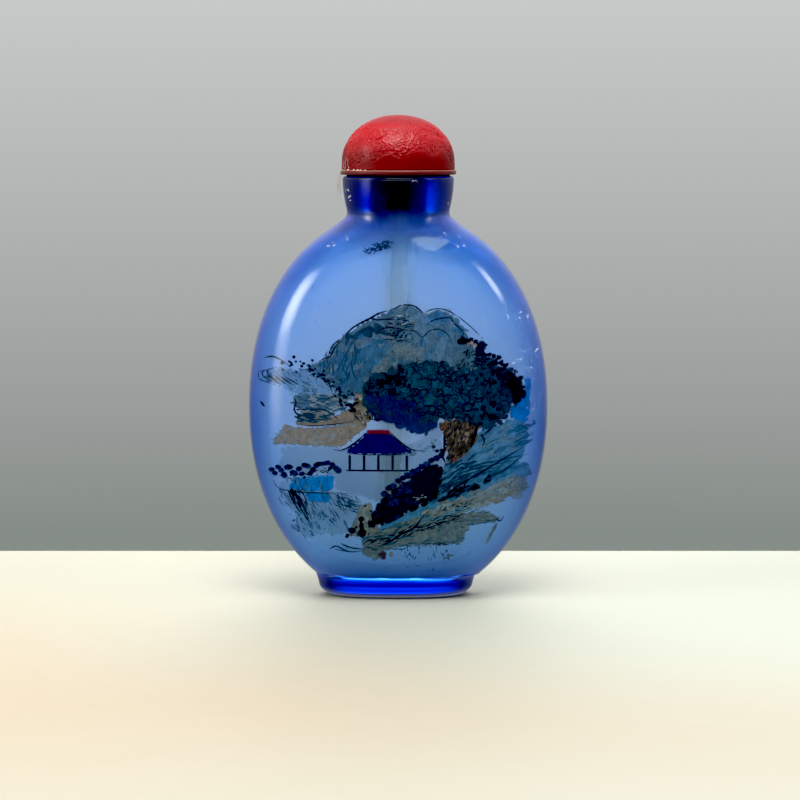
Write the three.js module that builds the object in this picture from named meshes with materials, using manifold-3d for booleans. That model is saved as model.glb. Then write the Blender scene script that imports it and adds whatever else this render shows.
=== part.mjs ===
// Inside-painted snuff bottle: a flattened ovoid flask of blue glass on an oval foot, with a round neck,
// closed by a stopper made of a red domed cap, a thin collar, a plug and a spoon that hangs in the flask.
//
// Millimetres, +Z up, X across the broad faces. The origin is the centre of the foot's underside.

import * as THREE from "three";
import { mergeVertices } from "three/addons/utils/BufferGeometryUtils.js";
import Module from "manifold-3d";

// Driving dimensions

const rest = 0.02; // hairline between the collar and the cap above it, or the plug below it
const play = 0.3; // everywhere else that two pieces meet

const body = {
  halfWidth: 25,
  halfDepth: 13,
  centreZ: 31.7, // height of the widest point
  rise: 32.6, // from there to where the upper curve would close
  drop: 33, // and to where the lower curve would close
  widthPower: { top: 2.15, bottom: 2.1 }, // 2 is an ellipse, more is fuller
  depthPower: { top: 2.6, bottom: 2.35 },
  planPower: 2.35,
};

const foot = {
  topZ: 3.7, // where the body's curve stops and the foot's upright side begins
  sideZ: 1.4, // where that side turns under
  taper: 0.5, // how far the side leans in on its way down
  turnUnder: 1.5, // how far the rounded edge goes in
  planPower: 2.5,
  rimWidth: 2.1, // the flat band that touches the table
  recess: 0.8, // height of the shallow panel inside the band
  recessWall: 0.9, // how far in its wall slopes
};

const neck = {
  waistZ: 64.5,
  waistRadius: 8.55,
  lipZ: 70.1,
  lipRadius: 9.28,
  flarePower: 2, // more makes the flare start sooner and end straighter
  fillet: 4, // blend between the neck and the shoulders
  edge: 0.6, // rounding of the lip's outer edge
  planFrom: 50.6, // the plan turns from the body's oval to the neck's circle above this height
};

const cavity = {
  halfWidth: 22,
  halfDepth: 10.9,
  centreZ: 32.5,
  rise: 27.9,
  drop: 28.2,
  widthPower: { top: 2.1, bottom: 2.7 },
  depthPower: { top: 2.5, bottom: 2.9 },
  planPower: 2.3,
  boreRadius: 3.25,
  boreFillet: 2.4,
  mouthChamfer: 0.35,
};

const collar = { radius: 9.65, thickness: 0.8, edge: 0.3 };
const cap = { radius: 9.42, bandHeight: 1.2, height: 9.08, power: 2.07 };
const plug = { topRadius: 2.4, tipRadius: 2, length: 5.4, edge: 0.3, socketRadius: 1.1, socketDepth: 3 };

const spoon = {
  tangRadius: 0.8,
  tangLength: 2.7,
  stemHalfWidth: 1.25,
  stemHalfThick: 0.45,
  stemLength: 42,
  bowlHalfWidth: 1.9,
  bowlHalfThick: 0.7,
  bowlLength: 6.5,
  lean: THREE.MathUtils.degToRad(1.6), // it hangs a little to one side
};

// Facets

const aroundFlask = 52;
const aroundCap = 40;
const aroundPlug = 24;
const aroundSpoon = 16;

const materials = {
  glass: new THREE.MeshStandardMaterial({
    color: 0x2d62c4,
    roughness: 0.08,
    metalness: 0,
    transparent: true,
    opacity: 0.55,
  }),
  capRed: new THREE.MeshStandardMaterial({ color: 0xa3121a, roughness: 0.38, metalness: 0 }),
  collarRed: new THREE.MeshStandardMaterial({ color: 0x6e1716, roughness: 0.42, metalness: 0.1 }),
  plugBlack: new THREE.MeshStandardMaterial({ color: 0x0e0d0d, roughness: 0.85, metalness: 0 }),
  spoonIvory: new THREE.MeshStandardMaterial({ color: 0xd9d2b8, roughness: 0.55, metalness: 0 }),
};

// Shape helpers

// Half the size of a rounded outline at height z. It is fullest at centreZ, and closes at rise above that
// and at drop below.
function outlineHalf(shape, half, power, z) {
  const above = z >= shape.centreZ;
  const share = Math.abs(z - shape.centreZ) / (above ? shape.rise : shape.drop);
  const n = above ? power.top : power.bottom;
  return share >= 1 ? 0 : half * (1 - share ** n) ** (1 / n);
}

// The larger of two sizes, rounded off where they cross.
function filletMax(a, b, size) {
  const mix = THREE.MathUtils.clamp(0.5 + (0.5 * (a - b)) / size, 0, 1);
  return a * mix + b * (1 - mix) + size * mix * (1 - mix);
}

function ring(z, halfX, halfY, power = 2) {
  return { z, halfX, halfY, power };
}

// A closed skin over a stack of superellipse rings, capped by a fan at the first ring and at the last.
function loft(rings, around) {
  const points = [];
  const faces = [];
  for (const { z, halfX, halfY, power } of rings) {
    for (let i = 0; i < around; i++) {
      const angle = (i / around) * 2 * Math.PI;
      const c = Math.cos(angle);
      const s = Math.sin(angle);
      points.push(Math.sign(c) * halfX * Math.abs(c) ** (2 / power));
      points.push(Math.sign(s) * halfY * Math.abs(s) ** (2 / power));
      points.push(z);
    }
  }
  for (let row = 0; row < rings.length - 1; row++) {
    for (let i = 0; i < around; i++) {
      const next = (i + 1) % around;
      const a = row * around + i;
      const b = row * around + next;
      faces.push(a, b, b + around, a, b + around, a + around);
    }
  }
  const firstCentre = points.length / 3;
  const lastCentre = firstCentre + 1;
  const lastRow = (rings.length - 1) * around;
  points.push(0, 0, rings[0].z, 0, 0, rings.at(-1).z);
  for (let i = 0; i < around; i++) {
    const next = (i + 1) % around;
    faces.push(firstCentre, next, i, lastCentre, lastRow + i, lastRow + next);
  }
  const geometry = new THREE.BufferGeometry();
  geometry.setAttribute("position", new THREE.Float32BufferAttribute(points, 3));
  geometry.setIndex(faces);
  geometry.computeVertexNormals();
  return geometry;
}

// Points of a quarter ellipse from (r0, z0) to (r1, z1). It leaves upright and arrives level.
function quarterTurn(r0, z0, r1, z1, steps) {
  const points = [];
  for (let i = 0; i <= steps; i++) {
    const angle = (i / steps) * (Math.PI / 2);
    points.push(new THREE.Vector2(r1 + (r0 - r1) * Math.cos(angle), z0 + (z1 - z0) * Math.sin(angle)));
  }
  return points;
}

// A solid of revolution about Z, from a profile of (radius, height) that runs upwards from axis to axis.
function turned(profile, around) {
  return new THREE.LatheGeometry(profile, around).rotateX(Math.PI / 2);
}

function heights(from, to, count) {
  return Array.from({ length: count }, (_, i) => THREE.MathUtils.lerp(from, to, i / (count - 1)));
}

// Heights between two ends, closer together towards the second one, where an outline curves most.
function closingHeights(from, to, count) {
  return heights(0, Math.PI / 2, count).map((angle) => from + (to - from) * Math.sin(angle));
}

// Bottle

function neckRadius(z) {
  if (z <= neck.waistZ) return neck.waistRadius;
  const share = (z - neck.waistZ) / (neck.lipZ - neck.waistZ);
  return neck.waistRadius + (neck.lipRadius - neck.waistRadius) * (1 - (1 - share) ** neck.flarePower);
}

// One oval of a shape that turns into a round tube of the given radius further up.
function ovalRing(shape, z, tubeRadius, fillet, roundness) {
  const halfX = outlineHalf(shape, shape.halfWidth, shape.widthPower, z);
  const halfY = outlineHalf(shape, shape.halfDepth, shape.depthPower, z);
  const power = THREE.MathUtils.lerp(shape.planPower, 2, roundness);
  if (z <= shape.centreZ) return ring(z, halfX, halfY, power);
  return ring(z, filletMax(halfX, tubeRadius, fillet), filletMax(halfY, tubeRadius, fillet), power);
}

function outsideRing(z) {
  const roundness = THREE.MathUtils.smoothstep(z, neck.planFrom, neck.waistZ);
  return ovalRing(body, z, neckRadius(z), neck.fillet, roundness);
}

function insideRing(z) {
  const roundness = THREE.MathUtils.smoothstep(z, cavity.centreZ, cavity.centreZ + cavity.rise);
  return ovalRing(cavity, z, cavity.boreRadius, cavity.boreFillet, roundness);
}

function footRings() {
  const halfX = outlineHalf(body, body.halfWidth, body.widthPower, foot.topZ);
  const halfY = outlineHalf(body, body.halfDepth, body.depthPower, foot.topZ);
  const inset = (z, by) => ring(z, halfX - by, halfY - by, foot.planPower);
  const bandOuter = foot.taper + foot.turnUnder;
  const bandInner = bandOuter + foot.rimWidth;
  const panel = quarterTurn(bandInner, 0, bandInner + foot.recessWall, foot.recess, 3);
  const edge = quarterTurn(foot.taper, foot.sideZ, bandOuter, 0, 4);
  return [
    ...panel.reverse().map((p) => inset(p.y, p.x)),
    ...edge.reverse().map((p) => inset(p.y, p.x)),
    inset(foot.topZ, 0),
  ];
}

function bottleGeometry() {
  const shoulderZ = 54.6;
  const edgeFromZ = neck.lipZ - neck.edge;
  const outside = [
    ...closingHeights(body.centreZ, foot.topZ + 0.35, 11).reverse(),
    ...heights(body.centreZ, shoulderZ, 9).slice(1),
    ...heights(shoulderZ, neck.waistZ, 11).slice(1),
    ...heights(neck.waistZ, edgeFromZ, 4).slice(1),
  ].map(outsideRing);
  const lip = quarterTurn(neckRadius(edgeFromZ), edgeFromZ, neck.lipRadius - neck.edge, neck.lipZ, 4)
    .slice(1)
    .map((p) => ring(p.y, p.x, p.x));
  const mouthRadius = cavity.boreRadius + cavity.mouthChamfer;
  const mouth = [
    ring(neck.lipZ, mouthRadius, mouthRadius),
    ring(neck.lipZ - cavity.mouthChamfer, cavity.boreRadius, cavity.boreRadius),
  ];
  const ceilingZ = cavity.centreZ + cavity.rise;
  const floorZ = cavity.centreZ - cavity.drop;
  const inside = [
    ...heights(ceilingZ + 1.2, ceilingZ - 2.4, 6),
    ...closingHeights(cavity.centreZ, ceilingZ - 2.4, 8).reverse().slice(1),
    ...closingHeights(cavity.centreZ, floorZ + 0.3, 9).slice(1),
  ].map(insideRing);
  return loft([...footRings(), ...outside, ...lip, ...mouth, ...inside], aroundFlask);
}

// Stopper

function collarGeometry() {
  const { radius, thickness, edge } = collar;
  return turned(
    [
      new THREE.Vector2(0, 0),
      ...quarterTurn(radius, edge, radius - edge, 0, 3).reverse(),
      ...quarterTurn(radius, thickness - edge, radius - edge, thickness, 3),
      new THREE.Vector2(0, thickness),
    ],
    aroundCap,
  );
}

function capGeometry() {
  const dome = heights(0, Math.PI / 2, 14).map(
    (angle) =>
      new THREE.Vector2(
        cap.radius * Math.cos(angle) ** (2 / cap.power),
        cap.bandHeight + (cap.height - cap.bandHeight) * Math.sin(angle) ** (2 / cap.power),
      ),
  );
  dome.at(-1).x = 0;
  return turned([new THREE.Vector2(0, 0), new THREE.Vector2(cap.radius, 0), ...dome], aroundCap);
}

// The plug hangs below its own origin, with a blind socket for the spoon's tang in its underside.
function plugGeometry() {
  const { topRadius, tipRadius, length, edge, socketRadius, socketDepth } = plug;
  return turned(
    [
      new THREE.Vector2(0, socketDepth - length),
      new THREE.Vector2(socketRadius, socketDepth - length),
      new THREE.Vector2(socketRadius, -length),
      ...quarterTurn(tipRadius, edge - length, tipRadius - edge, -length, 3).reverse(),
      new THREE.Vector2(topRadius, 0),
      new THREE.Vector2(0, 0),
    ],
    aroundPlug,
  );
}

async function hollowed(geometry, cutter) {
  const wasm = await Module();
  wasm.setup();
  const solid = (source) => {
    const bare = new THREE.BufferGeometry();
    bare.setAttribute("position", source.getAttribute("position"));
    bare.setIndex(source.getIndex());
    const merged = mergeVertices(bare);
    return new wasm.Manifold(
      new wasm.Mesh({
        numProp: 3,
        vertProperties: merged.getAttribute("position").array,
        triVerts: new Uint32Array(merged.getIndex().array),
      }),
    );
  };
  const cut = solid(geometry).subtract(solid(cutter)).getMesh();
  const made = new THREE.BufferGeometry();
  made.setAttribute("position", new THREE.BufferAttribute(cut.vertProperties, 3));
  made.setIndex(new THREE.BufferAttribute(cut.triVerts, 1));
  made.computeVertexNormals();
  return made;
}

// A flat stem under a round tang, ending in a small oval bowl that is scooped out on one side.
async function spoonGeometry() {
  const { tangRadius, tangLength, stemHalfWidth, stemHalfThick, stemLength } = spoon;
  const { bowlHalfWidth, bowlHalfThick, bowlLength } = spoon;
  const flatPower = 5;
  const bowlZ = -stemLength - bowlLength / 2;
  const bowl = heights(-0.8, 0.97, 9).map((along) => {
    const full = Math.sqrt(1 - along ** 2);
    const least = along < 0 ? 1 : 0;
    return ring(
      bowlZ - (along * bowlLength) / 2,
      Math.max(stemHalfWidth * least, bowlHalfWidth * full),
      Math.max(stemHalfThick * least, bowlHalfThick * full),
      THREE.MathUtils.lerp(flatPower, 2.2, full),
    );
  });
  const rings = [
    ring(tangLength, tangRadius, tangRadius),
    ring(0, tangRadius, tangRadius),
    ring(-0.6, stemHalfWidth, stemHalfThick, flatPower),
    ring(-stemLength, stemHalfWidth * 0.9, stemHalfThick, flatPower),
    ...bowl,
  ];
  const scoop = new THREE.SphereGeometry(1, 16, 10)
    .scale(bowlHalfWidth * 0.72, bowlHalfThick * 1.1, bowlLength * 0.36)
    .translate(0, -bowlHalfThick * 1.15, bowlZ);
  return hollowed(loft(rings.reverse(), aroundSpoon), scoop);
}

// Assembly

function piece(name, geometry, material) {
  const mesh = new THREE.Mesh(geometry, material);
  mesh.name = name;
  return mesh;
}

async function stopper() {
  const group = new THREE.Group();
  group.position.z = neck.lipZ + play;

  const capMesh = piece("stopper_cap", capGeometry(), materials.capRed);
  capMesh.position.z = collar.thickness + rest;

  const plugMesh = piece("stopper_plug", plugGeometry(), materials.plugBlack);
  plugMesh.position.z = -rest;

  const spoonMesh = piece("spoon", await spoonGeometry(), materials.spoonIvory);
  spoonMesh.position.z = -rest - plug.length - play;
  spoonMesh.rotation.y = spoon.lean;

  group.add(piece("stopper_collar", collarGeometry(), materials.collarRed), capMesh, plugMesh, spoonMesh);
  return group;
}

const snuffBottle = new THREE.Group();
snuffBottle.name = "snuff_bottle";
snuffBottle.add(piece("bottle", bottleGeometry(), materials.glass), await stopper());

export default snuffBottle;
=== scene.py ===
# Snuff bottle: a blue glass flask painted on its inner wall, with a red domed stopper and its spoon

import bpy
import math
import random
from mathutils import Matrix, Vector, geometry, noise


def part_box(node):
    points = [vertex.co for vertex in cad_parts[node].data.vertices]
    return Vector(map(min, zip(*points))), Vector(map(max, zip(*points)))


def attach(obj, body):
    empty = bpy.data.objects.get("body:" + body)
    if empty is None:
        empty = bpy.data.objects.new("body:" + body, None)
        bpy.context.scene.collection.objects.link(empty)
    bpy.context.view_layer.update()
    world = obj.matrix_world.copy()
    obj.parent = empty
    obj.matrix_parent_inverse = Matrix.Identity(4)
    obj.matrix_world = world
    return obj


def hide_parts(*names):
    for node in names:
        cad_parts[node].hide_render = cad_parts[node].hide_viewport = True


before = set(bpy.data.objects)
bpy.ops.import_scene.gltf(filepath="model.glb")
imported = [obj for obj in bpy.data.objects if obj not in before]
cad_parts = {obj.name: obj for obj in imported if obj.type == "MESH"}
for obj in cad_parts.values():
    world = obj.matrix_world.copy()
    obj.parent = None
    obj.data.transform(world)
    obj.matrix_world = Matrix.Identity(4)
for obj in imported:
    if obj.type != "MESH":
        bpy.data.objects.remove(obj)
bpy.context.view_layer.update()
flaskLow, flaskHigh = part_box("bottle")
mm = (flaskHigh.z - flaskLow.z) / 70.1  # one millimetre of the real bottle, in metres
noise.seed_set(7)  # ragged edges and craze come out the same each run
print("frame loaded")


class Wire:  # a socket that can be used in arithmetic
    def __init__(self, finish, socket):
        self.finish, self.socket = finish, socket

    def calc(self, operation, *values):
        return self.finish.add("ShaderNodeMath", {"operation": operation}, dict(enumerate(values)))

    def __add__(self, other):
        return self.calc("ADD", self, other)

    def __sub__(self, other):
        return self.calc("SUBTRACT", self, other)

    def __rsub__(self, other):
        return self.calc("SUBTRACT", other, self)

    def __mul__(self, other):
        return self.calc("MULTIPLY", self, other)

    __radd__ = __add__
    __rmul__ = __mul__

    def ramp(self, low, high):  # 0 at low, 1 at high, smooth between
        settings = {"interpolation_type": "SMOOTHSTEP"}
        return self.finish.add("ShaderNodeMapRange", settings, {0: self, 1: low, 2: high, 3: 0.0, 4: 1.0})

    def rampAt(self, span):  # the same, between two places in millimetres
        return self.ramp(span[0] * mm, span[1] * mm)


class Finish:  # a node tree being built, with its main shader
    def __init__(self, owner, shader="ShaderNodeBsdfPrincipled", **values):
        owner.use_nodes = True
        self.owner, self.tree = owner, owner.node_tree
        self.tree.nodes.clear()
        self.shader = self.tree.nodes.new(shader)
        kinds = {"ShaderNodeBackground": "World", "ShaderNodeEmission": "Light"}
        self.output = self.tree.nodes.new("ShaderNodeOutput" + kinds.get(shader, "Material"))
        self.tree.links.new(self.shader.outputs[0], self.output.inputs["Surface"])
        self.set(**{key.replace("_", " "): value for key, value in values.items()})

    def plug(self, socket, value):
        if isinstance(value, Wire):
            self.tree.links.new(value.socket, socket)
        elif socket.type == "RGBA" and len(value) == 3:
            socket.default_value = (*value, 1.0)
        else:
            socket.default_value = value

    def set(self, **values):
        for key, value in values.items():
            self.plug(self.shader.inputs[key.replace("_", " ")], value)
        return self

    def add(self, kind, settings=None, inputs=None, output=0):
        node = self.tree.nodes.new(kind)
        for key, value in (settings or {}).items():
            if key == "stops":
                while len(node.color_ramp.elements) < len(value):
                    node.color_ramp.elements.new(1.0)
                for element, (place, colour) in zip(node.color_ramp.elements, value):
                    element.position, element.color = place, (*colour, 1.0)
            else:
                setattr(node, key, value)
        for key, value in (inputs or {}).items():
            self.plug(node.inputs[key], value)
        return Wire(self, node.outputs[output])

    def place(self):  # where on the object, in its own metres
        return self.add("ShaderNodeTexCoord", output="Object")

    def axis(self, name, vector=None):
        return self.add("ShaderNodeSeparateXYZ", inputs={0: vector or self.place()}, output=name)

    def noise(self, size, detail=3.0, rough=0.55, stretch=(1, 1, 1), seed=0.0, warp=0.0):
        # size is the width of a blotch in metres
        scale = [s / size for s in stretch]
        values = {"Vector": self.place(), "Scale": scale, "Location": (seed, seed * 1.7, 0)}
        where = self.add("ShaderNodeMapping", inputs=values)
        values = {"Vector": where, "Scale": 1.0, "Detail": detail, "Roughness": rough, "Distortion": warp}
        return self.add("ShaderNodeTexNoise", inputs=values)

    def mix(self, factor, a, b):
        return self.add("ShaderNodeMix", {"data_type": "RGBA"}, {0: factor, 6: a, 7: b}, 2)

    def attribute(self, name):
        return self.add("ShaderNodeAttribute", {"attribute_name": name}, output="Fac")

    def bump(self, height, strength, distance):
        values = {"Strength": strength, "Distance": distance, "Height": height}
        return self.add("ShaderNodeBump", inputs=values)


def newFinish(name, **values):
    return Finish(bpy.data.materials.new(name), **values)


def addMesh(name, points, faces, finish):
    mesh = bpy.data.meshes.new(name)
    mesh.from_pydata([Vector(p) * mm for p in points], [], faces)
    mesh.materials.append(finish.owner)
    thing = bpy.data.objects.new(name, mesh)
    bpy.context.scene.collection.objects.link(thing)
    return thing


def addPiece(name, points, faces, finish, slot, replaces=(), **attributes):
    piece = addMesh(name, points, faces, finish)
    mesh = piece.data
    mesh.polygons.foreach_set("use_smooth", [True] * len(mesh.polygons))
    for key, values in attributes.items():
        mesh.attributes.new(key, "FLOAT", "POINT").data.foreach_set("value", values)
    mesh.validate()
    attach(piece, "root")
    if replaces:
        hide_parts(*replaces)
    return piece


def loftFaces(rows, around, first=0):
    faces = []
    for row in range(rows - 1):
        for i in range(around):
            a, b = first + row * around + i, first + row * around + (i + 1) % around
            faces.append((a, b, b + around, a + around))
    return faces


def spread(start, stop, count):
    return [start + (stop - start) * i / (count - 1) for i in range(count)]


def ovalPoint(halfX, halfY, power, share):
    # a place on a rounded rectangle, share of the way round it
    c, s = math.cos(2 * math.pi * share), math.sin(2 * math.pi * share)
    return math.copysign(halfX * abs(c) ** (2 / power), c), math.copysign(halfY * abs(s) ** (2 / power), s)


def capFaces(middle, first, around, down=False):
    # a fan of triangles from a middle point to a ring of points
    pairs = [(first + i, first + (i + 1) % around) for i in range(around)]
    return [(middle, b, a) if down else (middle, a, b) for a, b in pairs]


def clamp(value, low=0.0, high=1.0):
    return max(low, min(high, value))


def smoothStep(value, low, high):
    t = clamp((value - low) / (high - low))
    return t * t * (3 - 2 * t)


flask = {
    "halfWidth": (flaskHigh.x - flaskLow.x) / 2 / mm,
    "halfDepth": (flaskHigh.y - flaskLow.y) / 2 / mm,
    "centre": 31.7,
    "rise": 32.6,
    "drop": 33.0,
    "widthPower": (2.15, 2.1),
    "depthPower": (2.6, 2.35),
    "planPower": 2.35,
    "fillet": 4.0,
    "around": 176,
}
foot = {
    "top": 3.7,
    "side": 2.1,
    "taper": 0.5,
    "turn": 3.0,
    "planPower": 2.5,
    "band": 0.6,
    "uneven": 0.06,  # its right end is narrower by this share
    "recess": 0.8,
    "recessWall": 0.9,
}
neck = {"waist": 64.5, "waistRadius": 8.55, "lip": 70.1, "lipRadius": 9.28, "edge": 0.4, "planFrom": 50.6}
hollow = {
    "halfWidth": flask["halfWidth"] - 3.0,
    "halfDepth": flask["halfDepth"] - 2.1,
    "centre": 32.5,
    "rise": 27.9,
    "drop": 28.2,
    "widthPower": (2.1, 2.7),
    "depthPower": (2.5, 2.9),
    "planPower": 2.3,
    "bore": 3.25,
    "boreFillet": 2.4,
    "chamfer": 0.35,
    "roughAt": (60, 66),
    "clearAt": (62, 67),  # over these heights the wall stays rough but is no longer milky
}


def outline(shape, half, powers, z):
    above = z >= shape["centre"]
    share = abs(z - shape["centre"]) / (shape["rise"] if above else shape["drop"])
    power = powers[0] if above else powers[1]
    return 0.0 if share >= 1 else half * (1 - share**power) ** (1 / power)


def filletMax(a, b, size):
    mix = clamp(0.5 + 0.5 * (a - b) / size)
    return a * mix + b * (1 - mix) + size * mix * (1 - mix)


def ovalAt(shape, z, tube, fillet, roundness):
    halfX = outline(shape, shape["halfWidth"], shape["widthPower"], z)
    halfY = outline(shape, shape["halfDepth"], shape["depthPower"], z)
    if z > shape["centre"]:
        halfX, halfY = filletMax(halfX, tube, fillet), filletMax(halfY, tube, fillet)
    return z, halfX, halfY, shape["planPower"] + (2 - shape["planPower"]) * roundness


def neckRadius(z):
    share = clamp((z - neck["waist"]) / (neck["lip"] - neck["waist"]))
    return neck["waistRadius"] + (neck["lipRadius"] - neck["waistRadius"]) * (1 - (1 - share) ** 2)


def outsideAt(z):
    return ovalAt(flask, z, neckRadius(z), flask["fillet"], smoothStep(z, neck["planFrom"], neck["waist"]))


def insideAt(z):
    top = hollow["centre"] + hollow["rise"]
    return ovalAt(hollow, z, hollow["bore"], hollow["boreFillet"], smoothStep(z, hollow["centre"], top))


def closing(start, stop, count):  # heights that crowd together towards stop
    return [start + (stop - start) * math.sin(a) for a in spread(0, math.pi / 2, count)]


def quarter(r0, z0, r1, z1, steps):
    angles = spread(0, math.pi / 2, steps + 1)
    return [(r1 + (r0 - r1) * math.cos(a), z0 + (z1 - z0) * math.sin(a)) for a in angles]


def footRings():
    halfX = outline(flask, flask["halfWidth"], flask["widthPower"], foot["top"])
    halfY = outline(flask, flask["halfDepth"], flask["depthPower"], foot["top"])
    outer = foot["taper"] + foot["turn"]
    inner = outer + foot["band"]
    steps = [(inner + foot["recessWall"] + extra, foot["recess"]) for extra in (2.4, 1.2)]
    steps += reversed(quarter(inner, 0, inner + foot["recessWall"], foot["recess"], 6))
    steps += reversed(quarter(foot["taper"], foot["side"], outer, 0, 10))
    steps.append((foot["taper"] * 0.5, (foot["side"] + foot["top"]) / 2))
    steps += [(0.04, foot["top"] - 0.06), (0, foot["top"])]
    return [(z, halfX - inset, halfY - inset, foot["planPower"]) for inset, z in steps]


def flaskRings():
    edge = neck["lip"] - neck["edge"]
    outside = list(reversed(closing(flask["centre"], foot["top"] + 0.05, 60)))
    outside += spread(flask["centre"], 54.6, 50)[1:] + spread(54.6, neck["waist"], 44)[1:]
    outside += spread(neck["waist"], edge, 14)[1:]
    rings = footRings() + [outsideAt(z) for z in outside]
    turn = quarter(neckRadius(edge), edge, neck["lipRadius"] - neck["edge"], neck["lip"], 8)[1:]
    mouth = hollow["bore"] + hollow["chamfer"]
    turn += [(mouth + 0.1, neck["lip"]), (mouth, neck["lip"] - 0.03)]
    turn.append((hollow["bore"], neck["lip"] - hollow["chamfer"]))
    rings += [(z, r, r, 2.0) for r, z in turn]
    outsideCount = len(rings) - 1
    top, floor = hollow["centre"] + hollow["rise"], hollow["centre"] - hollow["drop"]
    inside = spread(neck["lip"] - hollow["chamfer"] - 0.1, top + 1.5, 14) + spread(top + 1.5, top - 3, 26)[1:]
    inside += list(reversed(closing(hollow["centre"], top - 3, 50)))[1:]
    inside += closing(hollow["centre"], floor + 0.12, 56)[1:]
    return rings + [insideAt(z) for z in inside], outsideCount


def buildFlask(finish):
    rings, outsideCount = flaskRings()
    around = flask["around"]
    points, inner, frost, milk, side = [], [], [], [], []
    for row, (z, halfX, halfY, power) in enumerate(rings):
        isInner = row > outsideCount
        for i in range(around):
            x, y = ovalPoint(halfX, halfY, power, i / around)
            if z < foot["top"] - 0.05 and x > 0:
                x *= 1 - foot["uneven"]
            points.append((x, y, z))
            inner.append(1 + 0.5 * smoothStep(z, *hollow["roughAt"]) if isInner else 0.0)
            frost.append(1 - smoothStep(z, *hollow["clearAt"]) if isInner else 0.0)
            back = smoothStep(y / halfY, *glass["milkAt"])
            milk.append(glass["milkFront"] + (glass["milkBack"] - glass["milkFront"]) * back)
            side.append(abs(x) / halfX)
    faces = loftFaces(len(rings), around)
    bottom, top = len(points), len(points) + 1
    points += [(0, 0, rings[0][0]), (0, 0, rings[-1][0])]
    inner += [0.0, 1.0]
    frost += [0.0, 1.0]
    milk += [0.0, 1.0]
    side += [0.0, 0.0]
    faces += capFaces(bottom, 0, around, down=True) + capFaces(top, (len(rings) - 1) * around, around)
    marks = {"inner": inner, "frost": frost, "milk": milk, "side": side}
    addPiece("flask_glass", points, faces, finish, "glass", ["bottle"], **marks)


exposure = {"black": 0.02}  # tones deeper than this go to black


def buildExposure():
    settings = bpy.context.scene.view_settings
    settings.view_transform = "Standard"
    settings.use_curve_mapping = True
    settings.curve_mapping.black_level = (exposure["black"],) * 3
    settings.curve_mapping.update()


view = {"back": 446.0, "height": 77.6, "side": 0.3, "down": 5.75, "lens": 120.2}


def buildCamera():
    camera = bpy.data.objects.new("camera", bpy.data.cameras.new("camera"))
    camera.data.lens = view["lens"]
    camera.location = (view["side"] * mm, -view["back"] * mm, view["height"] * mm)
    camera.rotation_euler = (math.radians(90 - view["down"]), 0, 0)
    bpy.context.scene.collection.objects.link(camera)
    bpy.context.scene.camera = camera


stage = {
    "behind": 47.0,
    "front": 190.0,
    "side": 2000.0,
    "thick": 14.0,
    "edge": 2.0,
    "left": (0.35, 0.325, 0.245),
    "right": (0.345, 0.355, 0.295),
    "warm": (0.35, 0.24, 0.14),
    "grain": (0.42, 0.41, 0.36),
}


def buildStage():
    finish = newFinish("pale_table", Roughness=0.6, Specular_IOR_Level=0.12)
    across, near = finish.axis("X") + finish.noise(0.12) * 0.1, finish.axis("Y") * -1.0
    tint = finish.mix(across.ramp(-0.08, 0.1), stage["left"], stage["right"])
    warm = (near - across * 0.5).ramp(-0.02, 0.09) * (1 - near.ramp(0.08, 0.17) * 0.8)
    tint = finish.mix(warm * 0.5, tint, stage["warm"])
    grain = finish.noise(0.004, detail=4)
    speckled = finish.mix(grain * 0.12, tint, stage["grain"])
    finish.set(Base_Color=speckled, Normal=finish.bump(grain, 0.1, 0.0001))
    x, back, front, low = stage["side"], stage["behind"], -stage["front"], -stage["thick"]
    flat = ((-x, front), (x, front), (x, back), (-x, back))
    corners = [(*place, z) for z in (low, -0.02) for place in flat]
    faces = [(3, 2, 1, 0), (4, 5, 6, 7), (0, 1, 5, 4), (1, 2, 6, 5), (2, 3, 7, 6), (3, 0, 4, 7)]
    table = addMesh("table", corners, faces, finish)
    bevel = table.modifiers.new("edge", "BEVEL")
    bevel.width, bevel.segments = stage["edge"] * mm, 4
    table.visible_glossy = False  # the bottle's sides reflect the soft room, not the table


backdrop = {  # height of the line of sight, as a share of straight up, and the grey seen there
    "stops": [
        (-1.0, (0.6, 0.62, 0.64)),
        (-0.35, (0.34, 0.36, 0.36)),
        (-0.148, (0.235, 0.265, 0.243)),
        (-0.10, (0.325, 0.34, 0.335)),
        (-0.026, (0.45, 0.462, 0.456)),
        (0.048, (0.575, 0.585, 0.585)),
        (0.35, (0.9, 0.92, 0.94)),
        (1.0, (0.9, 0.92, 0.95)),
    ],
    "room": (0.085, 0.09, 0.1),  # the dim room on the near side
    "turn": (-0.5, 0.4),
}


def buildWorld():
    world = bpy.data.worlds.new("studio")
    bpy.context.scene.world = world
    finish = Finish(world, "ShaderNodeBackground")
    up = finish.axis("Z", finish.add("ShaderNodeTexCoord", output="Generated"))
    stops = []
    for height, colour in backdrop["stops"]:
        stops.append((height * 0.5 + 0.5, [c + (1 - c) * exposure["black"] for c in colour]))
    wall = finish.add("ShaderNodeValToRGB", {"stops": stops}, {0: up * 0.5 + 0.5})
    away = finish.axis("Y", finish.add("ShaderNodeTexCoord", output="Generated")).ramp(*backdrop["turn"])
    finish.set(Color=finish.mix(away, backdrop["room"], wall), Strength=1.0)


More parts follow.
